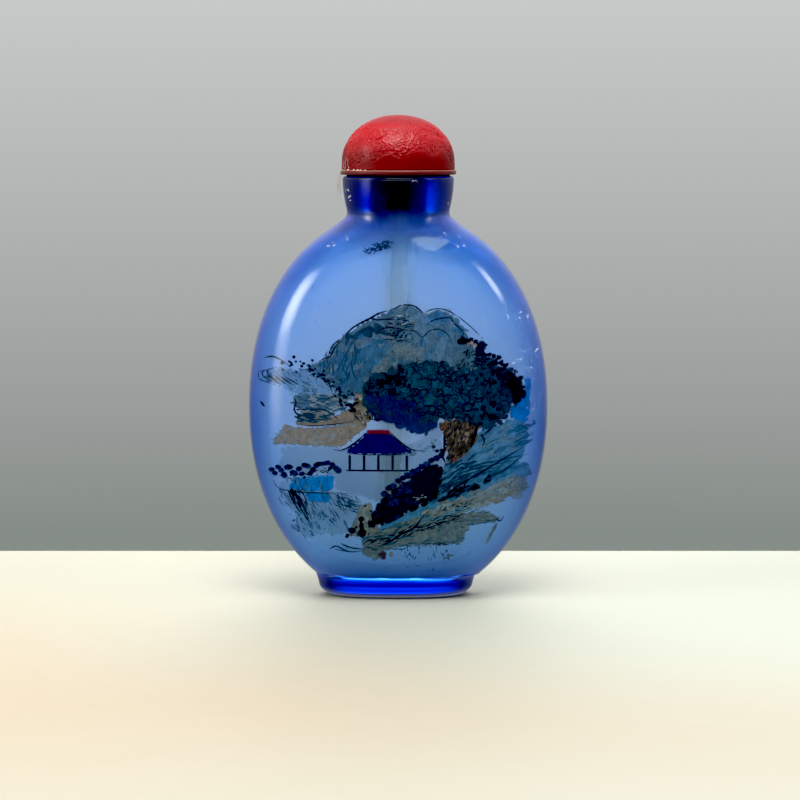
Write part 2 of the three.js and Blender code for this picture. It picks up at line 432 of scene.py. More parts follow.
# name, place, size across and along, brightness and colour; all aim at the flask's middle
lamps = [
    ("left_window", (-737, -240, 400), (400, 560), 6.5, (0.97, 0.99, 1.0)),
    ("right_window", (700, -190, 500), (230, 380), 5.0, (0.97, 0.98, 1.0)),
    ("overhead", (0, -230, 640), (640, 640), 7.0, (1.0, 1.0, 1.0)),
    ("left_low", (-700, -260, 70), (360, 420), 1.6, (0.97, 0.99, 1.0)),
    ("right_low", (640, -260, 40), (240, 360), 2.0, (0.97, 0.98, 1.0)),
    ("front_low", (0, -560, 60), (520, 150), 2.4, (0.9, 0.97, 1.0)),
    ("back_window", (0, 640, 330), (1150, 850), 4.2, (0.98, 0.99, 1.0)),
]


fillLamps = ("back_window", "right_low", "front_low")  # these fill the glass and leave no bright rim


def buildLamps():
    target = Vector((0, 0, flask["centre"])) * mm
    for name, place, size, bright, colour in lamps:
        data = bpy.data.lights.new(name, "AREA")
        data.shape, data.size, data.size_y = "RECTANGLE", size[0] * mm, size[1] * mm
        data.energy, data.color = math.pi * data.size * data.size_y * bright, colour
        finish = Finish(data, "ShaderNodeEmission")  # brightest in the middle, soft at its edges
        where = finish.add("ShaderNodeNewGeometry", output="Parametric")
        across, along = finish.axis("X", where), finish.axis("Y", where)
        soft = across.ramp(0, 0.45) * (1 - across.ramp(0.55, 1))
        soft = soft * along.ramp(0, 0.4) * (1 - along.ramp(0.6, 1))
        finish.set(Strength=soft * 2.2)
        lamp = bpy.data.objects.new(name, data)
        lamp.location = Vector(place) * mm
        lamp.rotation_euler = (lamp.location - target).to_track_quat("Z", "Y").to_euler()
        lamp.visible_camera = False
        lamp.visible_glossy = name not in fillLamps
        bpy.context.scene.collection.objects.link(lamp)


buildExposure()
buildCamera()
buildStage()
buildWorld()
buildLamps()
print("camera, stage and lamps ready")


glass = {
    "index": 1.5,
    "absorb": (0.42, 0.7, 0.985),  # colour left over, against the density
    "density": 300.0,
    "gloss": 0.38,
    "frostRoughness": 0.3,
    "milkFront": 0.8,  # how much of the frosted wall scatters light back
    "milkBack": 0.95,
    "milkAt": (-0.9, 0.2),
    "deep": ((0.0004, 0.012, 0.15), (0.001, 0.045, 0.22)),  # the neck's solid glass, left and right; the left one is darker as painted shade
    "deepFrom": (60.2, 65.4),
    "foot": (0.0004, 0.018, 0.13),
    "shade": (0.06, 0.36, 0.68),  # painted shade on the right shoulder
    "edge": (0.1, 0.31, 0.56),  # the thick glass down both sides
    "rim": (0.01, 0.08, 0.3),  # and where it is seen end on
    "low": (0.68, 0.96, 1.0),  # and toward the foot
    "lowAt": (4, 30),
    "edgeAt": (0.8, 1.02),
    "rimAt": (0.95, 1.0),
    "edgeGrows": (48, 61),  # the thick glass reaches further in, up the shoulders
    "shadeFrom": ((55, 60), (3, 11)),
    "footAt": (3.2, 4.8),
    "waistAt": ((57, 61), (63, 67)),
    "milkColour": (0.96, 0.96, 0.98),
}


def glassFinish():
    finish = newFinish("cobalt_glass", IOR=glass["index"], Transmission_Weight=1.0)
    finish.set(Specular_IOR_Level=glass["gloss"])
    frost, height, across = finish.attribute("frost"), finish.axis("Z"), finish.axis("X")
    side = finish.attribute("side")
    wisps = finish.noise(0.005, detail=4, stretch=(1, 1, 0.45))
    deep = (height + (wisps - 0.5) * 6 * mm).rampAt(glass["deepFrom"])
    # painted shade: the neck's glass gets darker toward its left side
    navy = finish.mix((across + wisps * 6 * mm).rampAt((-2, 8)), *glass["deep"])
    body = finish.mix(height.rampAt(glass["lowAt"]), glass["low"], (1, 1, 1))
    thick = side + height.rampAt(glass["edgeGrows"]) * 0.22
    body = finish.mix(thick.ramp(*glass["edgeAt"]), body, glass["edge"])
    body = finish.mix(side.ramp(*glass["rimAt"]), body, glass["rim"])
    # painted shade darkens the right shoulder below the neck
    shoulderShade = height.rampAt(glass["shadeFrom"][0]) * across.rampAt(glass["shadeFrom"][1])
    body = finish.mix(shoulderShade * 0.8, body, glass["shade"])
    body = finish.mix(1 - height.rampAt(glass["footAt"]), body, glass["foot"])
    waist = height.rampAt(glass["waistAt"][0]) * 0.2 + height.rampAt(glass["waistAt"][1]) * 0.03
    smudge = finish.noise(0.006, detail=4, stretch=(1, 1, 0.5)).ramp(0.45, 0.8) * 0.05
    inner = finish.attribute("inner") * (glass["frostRoughness"] + wisps * 0.1)
    finish.set(Base_Color=finish.mix(deep, body, navy), Roughness=0.03 + smudge + waist + inner)
    back = finish.add("ShaderNodeBsdfDiffuse", inputs={"Color": glass["milkColour"], "Roughness": 0.5})
    through = finish.add("ShaderNodeBsdfTranslucent", inputs={"Color": glass["milkColour"]})
    milk = finish.add("ShaderNodeMixShader", inputs={0: 0.4, 1: back, 2: through})
    clear = Wire(finish, finish.shader.outputs[0])
    cloud = (frost * 1.5 - wisps * 0.5).ramp(0.1, 0.7) * finish.attribute("milk")
    both = finish.add("ShaderNodeMixShader", inputs={0: cloud, 1: clear, 2: milk})
    finish.tree.links.new(both.socket, finish.output.inputs["Surface"])
    volume = finish.tree.nodes.new("ShaderNodeVolumeAbsorption")
    volume.inputs["Color"].default_value = (*glass["absorb"], 1)
    volume.inputs["Density"].default_value = glass["density"]
    finish.tree.links.new(volume.outputs[0], finish.output.inputs["Volume"])
    return finish


buildFlask(glassFinish())
print("flask blown")

paint = {
    "lift": 0.04,  # how far the first coat stands off the frosted wall, into the glass
    "coat": 0.012,  # what each later coat adds
    "grain": 0.8,  # spacing of the points inside a filled shape
    "up": 0.6,  # height of the picture's own zero above the table
    "seed": 7,
}


def wallDepth(x, z, wall):
    halfX, halfY, power = wall(z)[1:]
    return halfY * max(1 - abs(x / halfX) ** power, 0.02) ** (1 / power)


def onWall(x, z, lift, side, wall):  # side is -1 for the front, 1 for the back
    reach = 0.05
    depth = wallDepth(x, z, wall)
    slopeX = (wallDepth(x + reach, z, wall) - wallDepth(x - reach, z, wall)) / reach / 2
    slopeZ = (wallDepth(x, z + reach, wall) - wallDepth(x, z - reach, wall)) / reach / 2
    scale = lift / math.sqrt(1 + slopeX**2 + slopeZ**2)
    return x - slopeX * scale, side * (depth + scale), z - slopeZ * scale


def smoothPath(points, closed=False, step=0.35):
    # an even run of places on a soft curve through the points
    count = len(points)
    path = []
    for i in range(count if closed else count - 1):
        near = [(i + k) % count if closed else clamp(i + k, 0, count - 1) for k in (-1, 0, 1, 2)]
        a, b, c, d = (Vector(points[k]) for k in near)
        pieces = max(2, math.ceil((c - b).length / step))
        for t in (j / pieces for j in range(pieces)):
            bend, twist = 2 * a - 5 * b + 4 * c - d, 3 * b - a - 3 * c + d
            path.append(0.5 * (2 * b + (c - a) * t + bend * t**2 + twist * t**3))
    return path if closed else path + [Vector(points[-1])]


def isInside(place, loop):
    inside = False
    for p, q in zip(loop, loop[1:] + loop[:1]):
        if (p.y > place.y) != (q.y > place.y) and place.x < p.x + (q.x - p.x) * (place.y - p.y) / (q.y - p.y):
            inside = not inside
    return inside


class Brush:  # gathers the brushwork of one wall, pigment by pigment
    def __init__(self, side, seed, wall=insideAt, lift=paint["lift"]):
        self.side, self.level, self.work, self.wall, self.lift = side, 0, {}, wall, lift
        self.luck = random.Random(seed)

    def coat(self):
        self.level += 1

    def put(self, pigment, flat, faces, body):
        # body is how thick the paint lies at each point, from 0 to 1
        points, allFaces, bodies = self.work.setdefault(pigment, ([], [], []))
        first = len(points)
        lift = self.lift + paint["coat"] * (self.level + self.luck.uniform(0, 0.3))
        points.extend(onWall(p[0], p[1] + paint["up"], lift, self.side, self.wall) for p in flat)
        allFaces.extend(tuple(first + i for i in face) for face in faces)
        bodies.extend(body)

    def fill(self, pigment, corners, ragged=0.15, grain=0.8):
        loop = []
        for p in smoothPath(corners, closed=True, step=0.3):
            shift = noise.noise_vector(Vector((p.x / grain, p.y / grain, self.level * 3.1)))
            loop.append(p + Vector((shift.x, shift.y)) * ragged * 2)
        left, right = min(p.x for p in loop), max(p.x for p in loop)
        low, high = min(p.y for p in loop), max(p.y for p in loop)
        inner, gap = [], paint["grain"]
        for i in range(int((right - left) / gap) + 1):
            for j in range(int((high - low) / gap) + 1):
                place = Vector((left + (i + 0.5) * gap, low + (j + 0.25 + i % 2 * 0.5) * gap))
                if isInside(place, loop):
                    inner.append(place)
        made = geometry.delaunay_2d_cdt(loop + inner, [], [list(range(len(loop)))], 1, 1e-4)
        body = [0.0 if any(k < len(loop) for k in sources) else 1.0 for sources in made[3]]
        self.put(pigment, made[0], made[2], body)

    def stroke(self, pigment, points, width, taper=(0.25, 0.5), wobble=0.2):
        path = smoothPath(points)
        flat, body, last = [], [], len(path) - 1
        for i, p in enumerate(path):
            along = (path[min(i + 1, last)] - path[max(i - 1, 0)]).normalized()
            t = i / last
            ends = min(1.0, t / taper[0]) * min(1.0, (1 - t) / taper[1])
            half = width / 2 * (0.12 + 0.88 * ends**0.7) * (1 + wobble * self.luck.uniform(-1, 1))
            across = Vector((-along.y, along.x)) * half
            flat += [p + across, p - across]
            body += [0.45 + 0.55 * ends] * 2
        self.put(pigment, flat, [(2 * i, 2 * i + 1, 2 * i + 3, 2 * i + 2) for i in range(last)], body)

    def band(self, pigment, points, width):
        # a broad soft stripe that thins out toward both edges
        path, across = smoothPath(points), 11
        flat, body = [], []
        for p in path:
            for k in range(across):
                u = k / (across - 1) * 2 - 1
                flat.append(p + Vector((u * width / 2, 0)))
                fade = min(1, (path[0] - p).length / 2, (path[-1] - p).length / 2)
                body.append(0.9 * (1 - u * u) * fade)
        starts = [i * across + k for i in range(len(path) - 1) for k in range(across - 1)]
        faces = [(a, a + 1, a + across + 1, a + across) for a in starts]
        self.put(pigment, flat, faces, body)

    def dot(self, pigment, x, z, size, squash=1.0, turn=0.0, ragged=0.15):
        rim, sides = [Vector((x, z))], 12
        for i in range(sides):
            a = 2 * math.pi * i / sides
            r = size * (1 + ragged * self.luck.uniform(-1, 1))
            u, v = r * math.cos(a), r * squash * math.sin(a)
            rim.append(Vector((x, z)) + Matrix.Rotation(turn, 2) @ Vector((u, v)))
        self.put(pigment, rim, [(0, i + 1, (i + 1) % sides + 1) for i in range(sides)], [1.0] + [0.5] * sides)

    def finish(self, name, pigments):
        for pigment, (points, faces, body) in self.work.items():
            addPiece(f"{name}_{pigment}", points, faces, pigments[pigment], "glass", body=body)


pigments = {  # colour seen through the wall, how far it mottles, the size of the mottling, and its cover
    "ink": ((0.0012, 0.0024, 0.007), 0.5, 0.6, 0.96),
    "navy": ((0.0012, 0.001, 0.06), 0.25, 2.0, 1.0),
    "night": ((0.001, 0.012, 0.06), 0.5, 1.2, 0.96),
    "darkTeal": ((0.003, 0.023, 0.047), 0.6, 0.8, 0.9),
    "teal": ((0.006, 0.043, 0.085), 0.5, 0.7, 0.88),
    "hillGrey": ((0.03, 0.07, 0.1), 0.45, 1.6, 0.76),
    "hillBlue": ((0.022, 0.078, 0.15), 0.5, 2.0, 0.62),
    "mist": ((0.03, 0.09, 0.17), 0.4, 2.0, 0.46),
    "paleGrey": ((0.09, 0.135, 0.15), 0.4, 0.8, 0.34),
    "veil": ((0.02, 0.06, 0.085), 0.4, 1.6, 0.24),
    # painted shadow of the spoon: a pale band seen through the frosted wall
    "haze": ((0.19, 0.205, 0.2), 0.15, 2.0, 0.36),
    "tan": ((0.112, 0.1, 0.078), 0.3, 0.9, 0.95),
    "ochre": ((0.06, 0.053, 0.036), 0.6, 0.5, 0.9),
    "brown": ((0.024, 0.018, 0.01), 0.6, 0.5, 0.95),
    "rust": ((0.075, 0.036, 0.018), 0.5, 0.5, 0.9),
    "red": ((0.075, 0.001, 0.002), 0.6, 0.7, 0.9),
    "cream": ((0.22, 0.23, 0.2), 0.3, 0.8, 0.85),
    "bankTeal": ((0.026, 0.1, 0.18), 0.45, 1.4, 0.74),
    "bankPale": ((0.08, 0.18, 0.25), 0.4, 0.7, 0.45),
    "olive": ((0.09, 0.105, 0.1), 0.5, 0.9, 0.86),
    "violetGrey": ((0.13, 0.15, 0.165), 0.4, 1.4, 0.84),
    "brightBlue": ((0.004, 0.09, 0.28), 0.4, 1.5, 0.84),
    "plum": ((0.045, 0.02, 0.035), 0.4, 0.6, 0.8),
    "chip": ((0.8, 0.85, 0.95), 0.2, 0.3, 0.8),
    "scratch": ((0.3, 0.36, 0.5), 0.3, 0.3, 0.5),
    # a painted highlight: the pale wedge of reflected light below the neck
    "film": ((0.6, 0.8, 1.0), 0.1, 2.0, 0.14),
}
outsideMarks = ("chip", "scratch", "film")
paintTint = {"path": 5.0, "light": 0.36}  # millimetres of glass crossed there and back, and the light there


def pigmentFinish(name):
    seen, mottle, size, cover = pigments[name]
    colour = seen
    if name not in outsideMarks:  # paint is seen through the glass, so its own colour is paler
        loss = [(1 - part) * glass["density"] / 1000 for part in glass["absorb"]]
        colour = [c / math.exp(-a * paintTint["path"]) / paintTint["light"] for c, a in zip(seen, loss)]
    finish = newFinish("paint_" + name, Roughness=0.7, Specular_IOR_Level=0.2)
    broad = finish.noise(size * mm, detail=5, rough=0.65, seed=len(name)).ramp(0.3, 0.7)
    fine = finish.noise(size * 0.22 * mm, detail=3, stretch=(1, 1, 0.35), seed=2.5).ramp(0.35, 0.7)
    dark = [clamp(c * (1 - mottle), 0, 0.9) for c in colour]
    pale = [clamp(c * (1 + mottle * 0.6) + 0.006 * mottle, 0, 0.9) for c in colour]
    body = finish.attribute("body")
    laid = body.ramp(0, 1) if cover < 0.5 else (body * 1.7 + fine * 0.5 - 0.4).ramp(0, 0.9)
    finish.set(Base_Color=finish.mix(broad * 0.65 + fine * 0.35, dark, pale), Alpha=laid * cover)
    return finish


def scatter(brush, corners, count):
    # places at random inside a shape
    loop = smoothPath(corners, closed=True, step=1.0)
    left, right = min(p.x for p in loop), max(p.x for p in loop)
    low, high = min(p.y for p in loop), max(p.y for p in loop)
    found = []
    while len(found) < count:
        place = Vector((brush.luck.uniform(left, right), brush.luck.uniform(low, high)))
        if isInside(place, loop):
            found.append(place)
    return found


def hatch(brush, pigment, corners, count, length, width, angle, turn=0.3, bend=0.15):
    # many short strokes inside a shape, all leaning about the same way
    for place in scatter(brush, corners, count):
        a = math.radians(angle) + brush.luck.uniform(-turn, turn)
        reach = length * brush.luck.uniform(0.4, 1.0) / 2
        along, across = Vector((math.cos(a), math.sin(a))), Vector((-math.sin(a), math.cos(a)))
        middle = place + across * reach * brush.luck.uniform(-bend, bend) * 2
        thick = width * brush.luck.uniform(0.6, 1.2)
        brush.stroke(pigment, [place - along * reach, middle, place + along * reach], thick)


def dab(brush, pigment, corners, count, size, squash=0.7, ragged=0.25):
    for place in scatter(brush, corners, count):
        r = size * brush.luck.uniform(0.5, 1.2)
        flat, lean = squash * brush.luck.uniform(0.7, 1.3), brush.luck.uniform(0, 3.1)
        brush.dot(pigment, place.x, place.y, r, flat, lean, ragged)


def rings(brush, pigment, corners, count, size, width):
    # leaves drawn as small open loops
    for place in scatter(brush, corners, count):
        r, start = size * brush.luck.uniform(0.6, 1.2), brush.luck.uniform(0, 6.3)
        sweep = brush.luck.uniform(4.2, 6.2)
        turns = [start + sweep * i / 6 for i in range(7)]
        loop = [place + Vector((r * math.cos(a), r * 0.8 * math.sin(a))) for a in turns]
        brush.stroke(pigment, loop, width)


def paintHill(brush):
    hill = [(-14.8, 38.6), (-12.9, 39.3), (-11.2, 40.5), (-10.6, 42.0), (-9.2, 43.3), (-7.3, 44.9),
        (-4.6, 46.4)]
    hill += [(-1.6, 47.6), (0.7, 48.5), (2.6, 48.3), (4.3, 47.3), (6.2, 47.8), (8.2, 47.4),
        (10.2, 45.7), (11.4, 43.4)]
    hill += [(12.5, 40.0), (7.0, 36.5), (-3.0, 36.0), (-5.5, 34.2), (-8.5, 34.0), (-12.0, 36.0)]
    brush.fill("hillGrey", hill, 0.12)
    brush.coat()
    brush.fill("hillBlue", [(-10.6, 41.6), (-7.8, 40.4), (-4.4, 42.6), (-1.0, 42.8), (-2.5, 37.6),
        (-5.6, 34.6), (-9.4, 34.6)], 0.5)
    brush.fill("hillBlue", [(4.6, 46.9), (8.0, 47.1), (10.6, 44.6), (9.6, 43.0), (8.2, 45.2),
        (5.0, 45.2)], 0.3)
    brush.fill("darkTeal", [(-8.6, 43.4), (-5.6, 45.2), (-2.4, 45.4), (-1.8, 43.6), (-4.0, 43.9),
        (-6.4, 42.9)], 0.35)
    brush.coat()
    hatch(brush, "paleGrey", hill, 28, 2.2, 0.9, 25, 1.0)
    hatch(brush, "hillBlue", hill, 30, 2.4, 1.0, 40, 1.0)
    hatch(brush, "paleGrey", [(-2.0, 41.0), (3.0, 42.0), (4.0, 40.0), (0.0, 38.5),
        (-4.0, 37.0)], 30, 2.4, 0.9, 20, 0.5)
    brush.coat()
    left = [(-12.4, 38.6), (-10.3, 42.4), (-8.2, 43.4), (-6.2, 42.0), (-7.4, 37.5), (-9.8, 35.4)]
    hatch(brush, "darkTeal", left, 70, 2.4, 0.16, 82, 0.35)
    hatch(brush, "darkTeal", hill, 150, 0.9, 0.1, 70, 1.2)
    crest = [(-2.2, 45.8), (0.6, 47.4), (2.2, 46.0), (1.4, 42.6), (-1.6, 43.0)]
    hatch(brush, "cream", [(-1.0, 46.6), (1.0, 47.2), (1.6, 45.6), (-0.6, 45.4)], 4, 1.6, 0.16, 4, 0.3)
    hatch(brush, "paleGrey", crest, 18, 2.2, 0.3, 0, 0.5)
    hatch(brush, "darkTeal", crest, 26, 1.6, 0.22, 2, 0.35)
    brush.coat()
    hatch(brush, "ink", crest, 22, 2.0, 0.16, -3, 0.3)
    dab(brush, "ink", [(-1.8, 44.2), (0.8, 44.4), (1.4, 43.4), (-1.0, 43.3)], 24, 0.22)
    # the ridge lines, one soft arch after another
    arches = [
        ([(-11.2, 40.4), (-10.6, 41.9), (-9.4, 43.0)], 0.22),
        ([(-12.9, 39.2), (-11.9, 39.9), (-11.0, 40.2), (-10.0, 41.9), (-9.0, 42.9)], 0.2),
        ([(-8.6, 43.6), (-7.3, 44.9), (-5.8, 45.8), (-4.4, 46.5), (-3.2, 47.2), (-1.6, 47.7)], 0.3),
        ([(-4.4, 46.4), (-3.4, 46.2), (-2.2, 46.3), (-0.6, 46.4)], 0.22),
        ([(-1.5, 47.7), (-0.4, 48.1), (0.7, 48.6), (2.6, 48.4), (4.2, 47.1)], 0.24),
        ([(4.2, 47.2), (5.0, 47.7), (6.4, 47.95), (8.0, 47.6), (9.4, 46.7)], 0.2),
        ([(4.6, 45.3), (5.4, 46.0), (6.6, 46.35), (8.4, 46.5), (8.8, 45.8), (9.6, 45.0),
            (10.5, 44.2)], 0.2),
        ([(9.4, 46.8), (10.9, 45.6), (12.2, 44.4), (13.0, 43.6)], 0.14),
        ([(-3.6, 44.2), (-2.4, 44.8), (-0.8, 44.9), (1.2, 44.6), (3.2, 44.3)], 0.14),
        ([(1.6, 45.0), (3.0, 44.2), (3.9, 43.4), (5.0, 44.4), (6.4, 44.7), (7.8, 44.0), (8.6, 42.6)], 0.16),
    ]
    for points, width in arches:
        brush.stroke("ink", points, width, (0.15, 0.2))


def paintPoint(brush):
    # the low headland on the left, with its stippled brow
    point = [(-20.8, 35.4), (-20.6, 37.0), (-19.6, 38.1), (-17.6, 38.1), (-15.6, 38.0), (-13.0, 38.9),
        (-9.4, 36.2)]
    point += [(-7.2, 34.4), (-7.0, 33.2), (-10.4, 33.1), (-14.0, 33.4), (-16.8, 33.6), (-18.2, 34.8)]
    brush.fill("mist", point, 0.12)
    brush.fill("hillGrey", [(-16.6, 33.8), (-12.0, 34.0), (-8.0, 34.0), (-8.6, 31.4), (-12.6, 31.5),
        (-16.4, 31.6)], 0.15)
    brush.fill("olive", [(-16.2, 31.6), (-12.2, 31.7), (-10.0, 31.0), (-12.0, 29.6), (-16.0, 29.0),
        (-15.8, 30.4)], 0.15)
    brush.coat()
    hatch(brush, "bankPale", point, 26, 1.8, 0.4, 15, 0.8)
    hatch(brush, "hillGrey", point, 16, 1.6, 0.35, -35, 0.7)
    low = [(-16.2, 33.6), (-8.4, 33.8), (-8.8, 31.4), (-16.0, 31.2)]
    hatch(brush, "violetGrey", low, 30, 1.8, 0.3, 5, 0.4)
    brush.coat()
    hatch(brush, "darkTeal", point, 50, 1.0, 0.1, -40, 0.9)
    hatch(brush, "darkTeal", low, 40, 1.8, 0.16, -4, 0.4)
    hatch(brush, "darkTeal", [(-16.0, 31.2), (-10.8, 31.2), (-11.6, 29.8),
        (-15.8, 29.4)], 36, 1.8, 0.3, 0, 0.3)
    brush.stroke("ink", [(-20.9, 39.2), (-20.0, 39.7), (-19.0, 39.5), (-17.4, 38.5)], 0.24)
    for i in range(3):
        x, z = -21.6 + i * 0.6, 35.4 + i * 0.3
        brush.stroke("darkTeal", [(x + 1.2, z), (x, z + 0.5), (x - 0.1, z + 1.5), (x + 1.0, z + 2.0)], 0.2)
    brush.stroke("ink", [(-16.5, 31.4), (-14.0, 31.6), (-11.6, 31.4), (-9.6, 30.0)], 0.3)
    brush.stroke("ink", [(-15.9, 28.9), (-12.6, 28.95), (-8.6, 29.5), (-6.1, 30.3)], 0.16)
    brush.stroke("ink", [(-16.6, 33.4), (-16.4, 32.4), (-16.7, 31.4), (-16.0, 30.2), (-16.3, 29.0)], 0.26)
    for i in range(4):
        brush.stroke("ink", [(-20.6 + i * 0.9, 36.9 - i * 0.1), (-19.8 + i, 36.1 - i * 0.05),
            (-18.8 + i, 35.4)], 0.26)
    for i in range(46):
        t = brush.luck.random()
        x, z = -14.6 + 6.4 * t + brush.luck.gauss(0, 0.5), 38.4 - 4.6 * t + brush.luck.gauss(0, 0.5)
        brush.dot("ink", x, z, brush.luck.uniform(0.12, 0.3), 0.85)
    for i in range(14):
        x, z = -16.4 + brush.luck.gauss(0, 1.1), 39.0 + brush.luck.gauss(0, 0.45)
        brush.dot("ink", x, z, brush.luck.uniform(0.16, 0.3))
    dab(brush, "ink", [(-9.6, 33.6), (-7.2, 34.2), (-6.6, 32.4), (-8.8, 32.0)], 22, 0.36)


def paintShore(brush):
    sand = [(-20.2, 25.5), (-19.4, 27.0), (-18.1, 28.8), (-14.6, 28.6), (-9.0, 29.2), (-6.0, 30.2),
        (-5.0, 29.0)]
    sand += [(-6.4, 27.6), (-8.0, 26.3), (-9.4, 25.4), (-14.0, 25.5), (-17.8, 25.5)]
    brush.fill("tan", sand, 0.1)
    brush.fill("tan", [(-11.2, 29.6), (-9.4, 31.2), (-7.4, 31.9), (-6.0, 30.4), (-8.6, 29.7)], 0.2)
    brush.fill("tan", [(-16.0, 28.7), (-15.8, 30.0), (-12.0, 30.2), (-9.4, 31.0), (-6.6, 31.6),
        (-6.2, 30.0), (-9.0, 29.0)], 0.1)
    boulder = [(-7.0, 30.0), (-7.3, 33.0), (-6.4, 35.2), (-4.6, 36.4), (-3.9, 35.2), (-4.8, 33.0),
        (-4.2, 30.4), (-5.6, 29.2)]
    brush.fill("tan", boulder, 0.25)
    brush.coat()
    dab(brush, "ochre", boulder, 26, 0.5)
    dab(brush, "olive", boulder, 14, 0.4)
    hatch(brush, "violetGrey", sand, 50, 1.4, 0.2, 10, 0.8)
    brush.coat()
    dab(brush, "cream", boulder, 10, 0.2)
    hatch(brush, "brown", sand, 34, 0.5, 0.1, 60, 1.2)
    hatch(brush, "ink", boulder, 16, 1.2, 0.13, 70, 0.8)
    brush.dot("ink", -7.4, 31.6, 0.55, 0.9, 0.4, 0.3)
    brush.stroke("ink", [(-7.2, 31.0), (-6.6, 30.2), (-6.0, 29.6)], 0.2)


def paintWater(brush):
    # a painted pale band for the spoon's blurred shadow through the frosted wall, and a thin veil under the
    # eaves
    brush.band("haze", [(0.3, 61.0), (0.0, 48.0), (-0.5, 34.0), (-1.0, 15.0)], 6.4)
    brush.coat()
    pool = [(-18.8, 23.4), (-17.6, 25.6), (-9.0, 25.6), (-4.0, 24.4), (2.4, 26.4), (6.4, 29.4),
        (7.2, 26.4), (7.0, 22.6)]
    pool += [(1.0, 20.2), (-2.6, 16.6), (-6.0, 17.2), (-10.4, 18.4), (-10.8, 20.6), (-19.4, 20.8)]
    brush.fill("veil", pool, 0.2)
    brush.coat()
    hatch(brush, "bankPale", [(2.4, 25.4), (6.4, 27.4), (6.4, 25.0), (2.6, 24.0)], 14, 1.4, 0.5, 20, 0.4)
    brush.coat()


def paintFarBank(brush):
    # the long teal slope on the right
    slope = [(13.5, 28.4), (15.8, 28.9), (17.8, 29.8), (20.2, 29.2), (20.6, 27.0), (20.3, 24.6),
        (19.2, 22.0), (17.0, 20.2)]
    slope += [(13.0, 19.4), (8.8, 19.2), (7.0, 17.2), (4.4, 14.6), (3.4, 14.2), (6.0, 19.0),
        (7.6, 22.8), (10.4, 25.0)]
    brush.fill("bankTeal", slope, 0.1)
    brush.fill("bankTeal", [(-3.4, 10.6), (-2.6, 13.0), (3.0, 15.8), (8.0, 18.4), (15.0, 21.2),
        (20.0, 22.4), (20.2, 19.6), (12.0, 16.6), (4.0, 13.0)], 0.2)
    brush.fill("brightBlue", [(17.8, 31.6), (19.6, 33.6), (19.9, 36.4), (21.0, 36.2), (21.0, 33.0),
        (20.4, 29.2), (18.0, 29.9)], 0.12)
    brush.coat()
    hatch(brush, "bankPale", [(15.0, 28.0), (19.6, 28.6), (19.8, 25.0),
        (14.0, 24.0)], 26, 3.4, 0.5, 28, 0.15)
    hatch(brush, "hillBlue", slope, 40, 3.4, 0.6, 24, 0.2)
    brush.coat()
    hatch(brush, "darkTeal", slope, 30, 3.6, 0.12, 28, 0.12)
    hatch(brush, "darkTeal", [(6.0, 19.0), (9.0, 23.4), (13.0, 24.0), (14.0, 21.0),
        (9.0, 19.0)], 34, 2.6, 0.4, 30, 0.25)
    for k in range(5):
        start = Vector((5.2 + 0.9 * k, 16.2 + 0.8 * k))
        brush.stroke("darkTeal", [start, start + Vector((2.2, 2.6)), start + Vector((8.0 + k, 4.4))], 0.22)
    brush.stroke("ink", [(8.2, 18.2), (11.6, 20.2), (15.4, 22.4), (20.2, 25.2)], 0.3)
    brush.stroke("ink", [(13.2, 27.0), (15.0, 28.4), (17.0, 29.8)], 0.22)
    brush.stroke("darkTeal", [(14.0, 20.2), (17.0, 21.4), (19.8, 23.6)], 0.35)
    brush.fill("ink", [(6.4, 16.4), (8.6, 18.8), (12.4, 19.6), (15.0, 20.8), (15.2, 20.0), (12.6, 18.2),
        (9.4, 17.0)], 0.25)
    brush.coat()
    hatch(brush, "teal", [(8.0, 17.4), (14.8, 20.4), (14.6, 19.6), (9.0, 17.0)], 16, 1.6, 0.14, 26, 0.2)


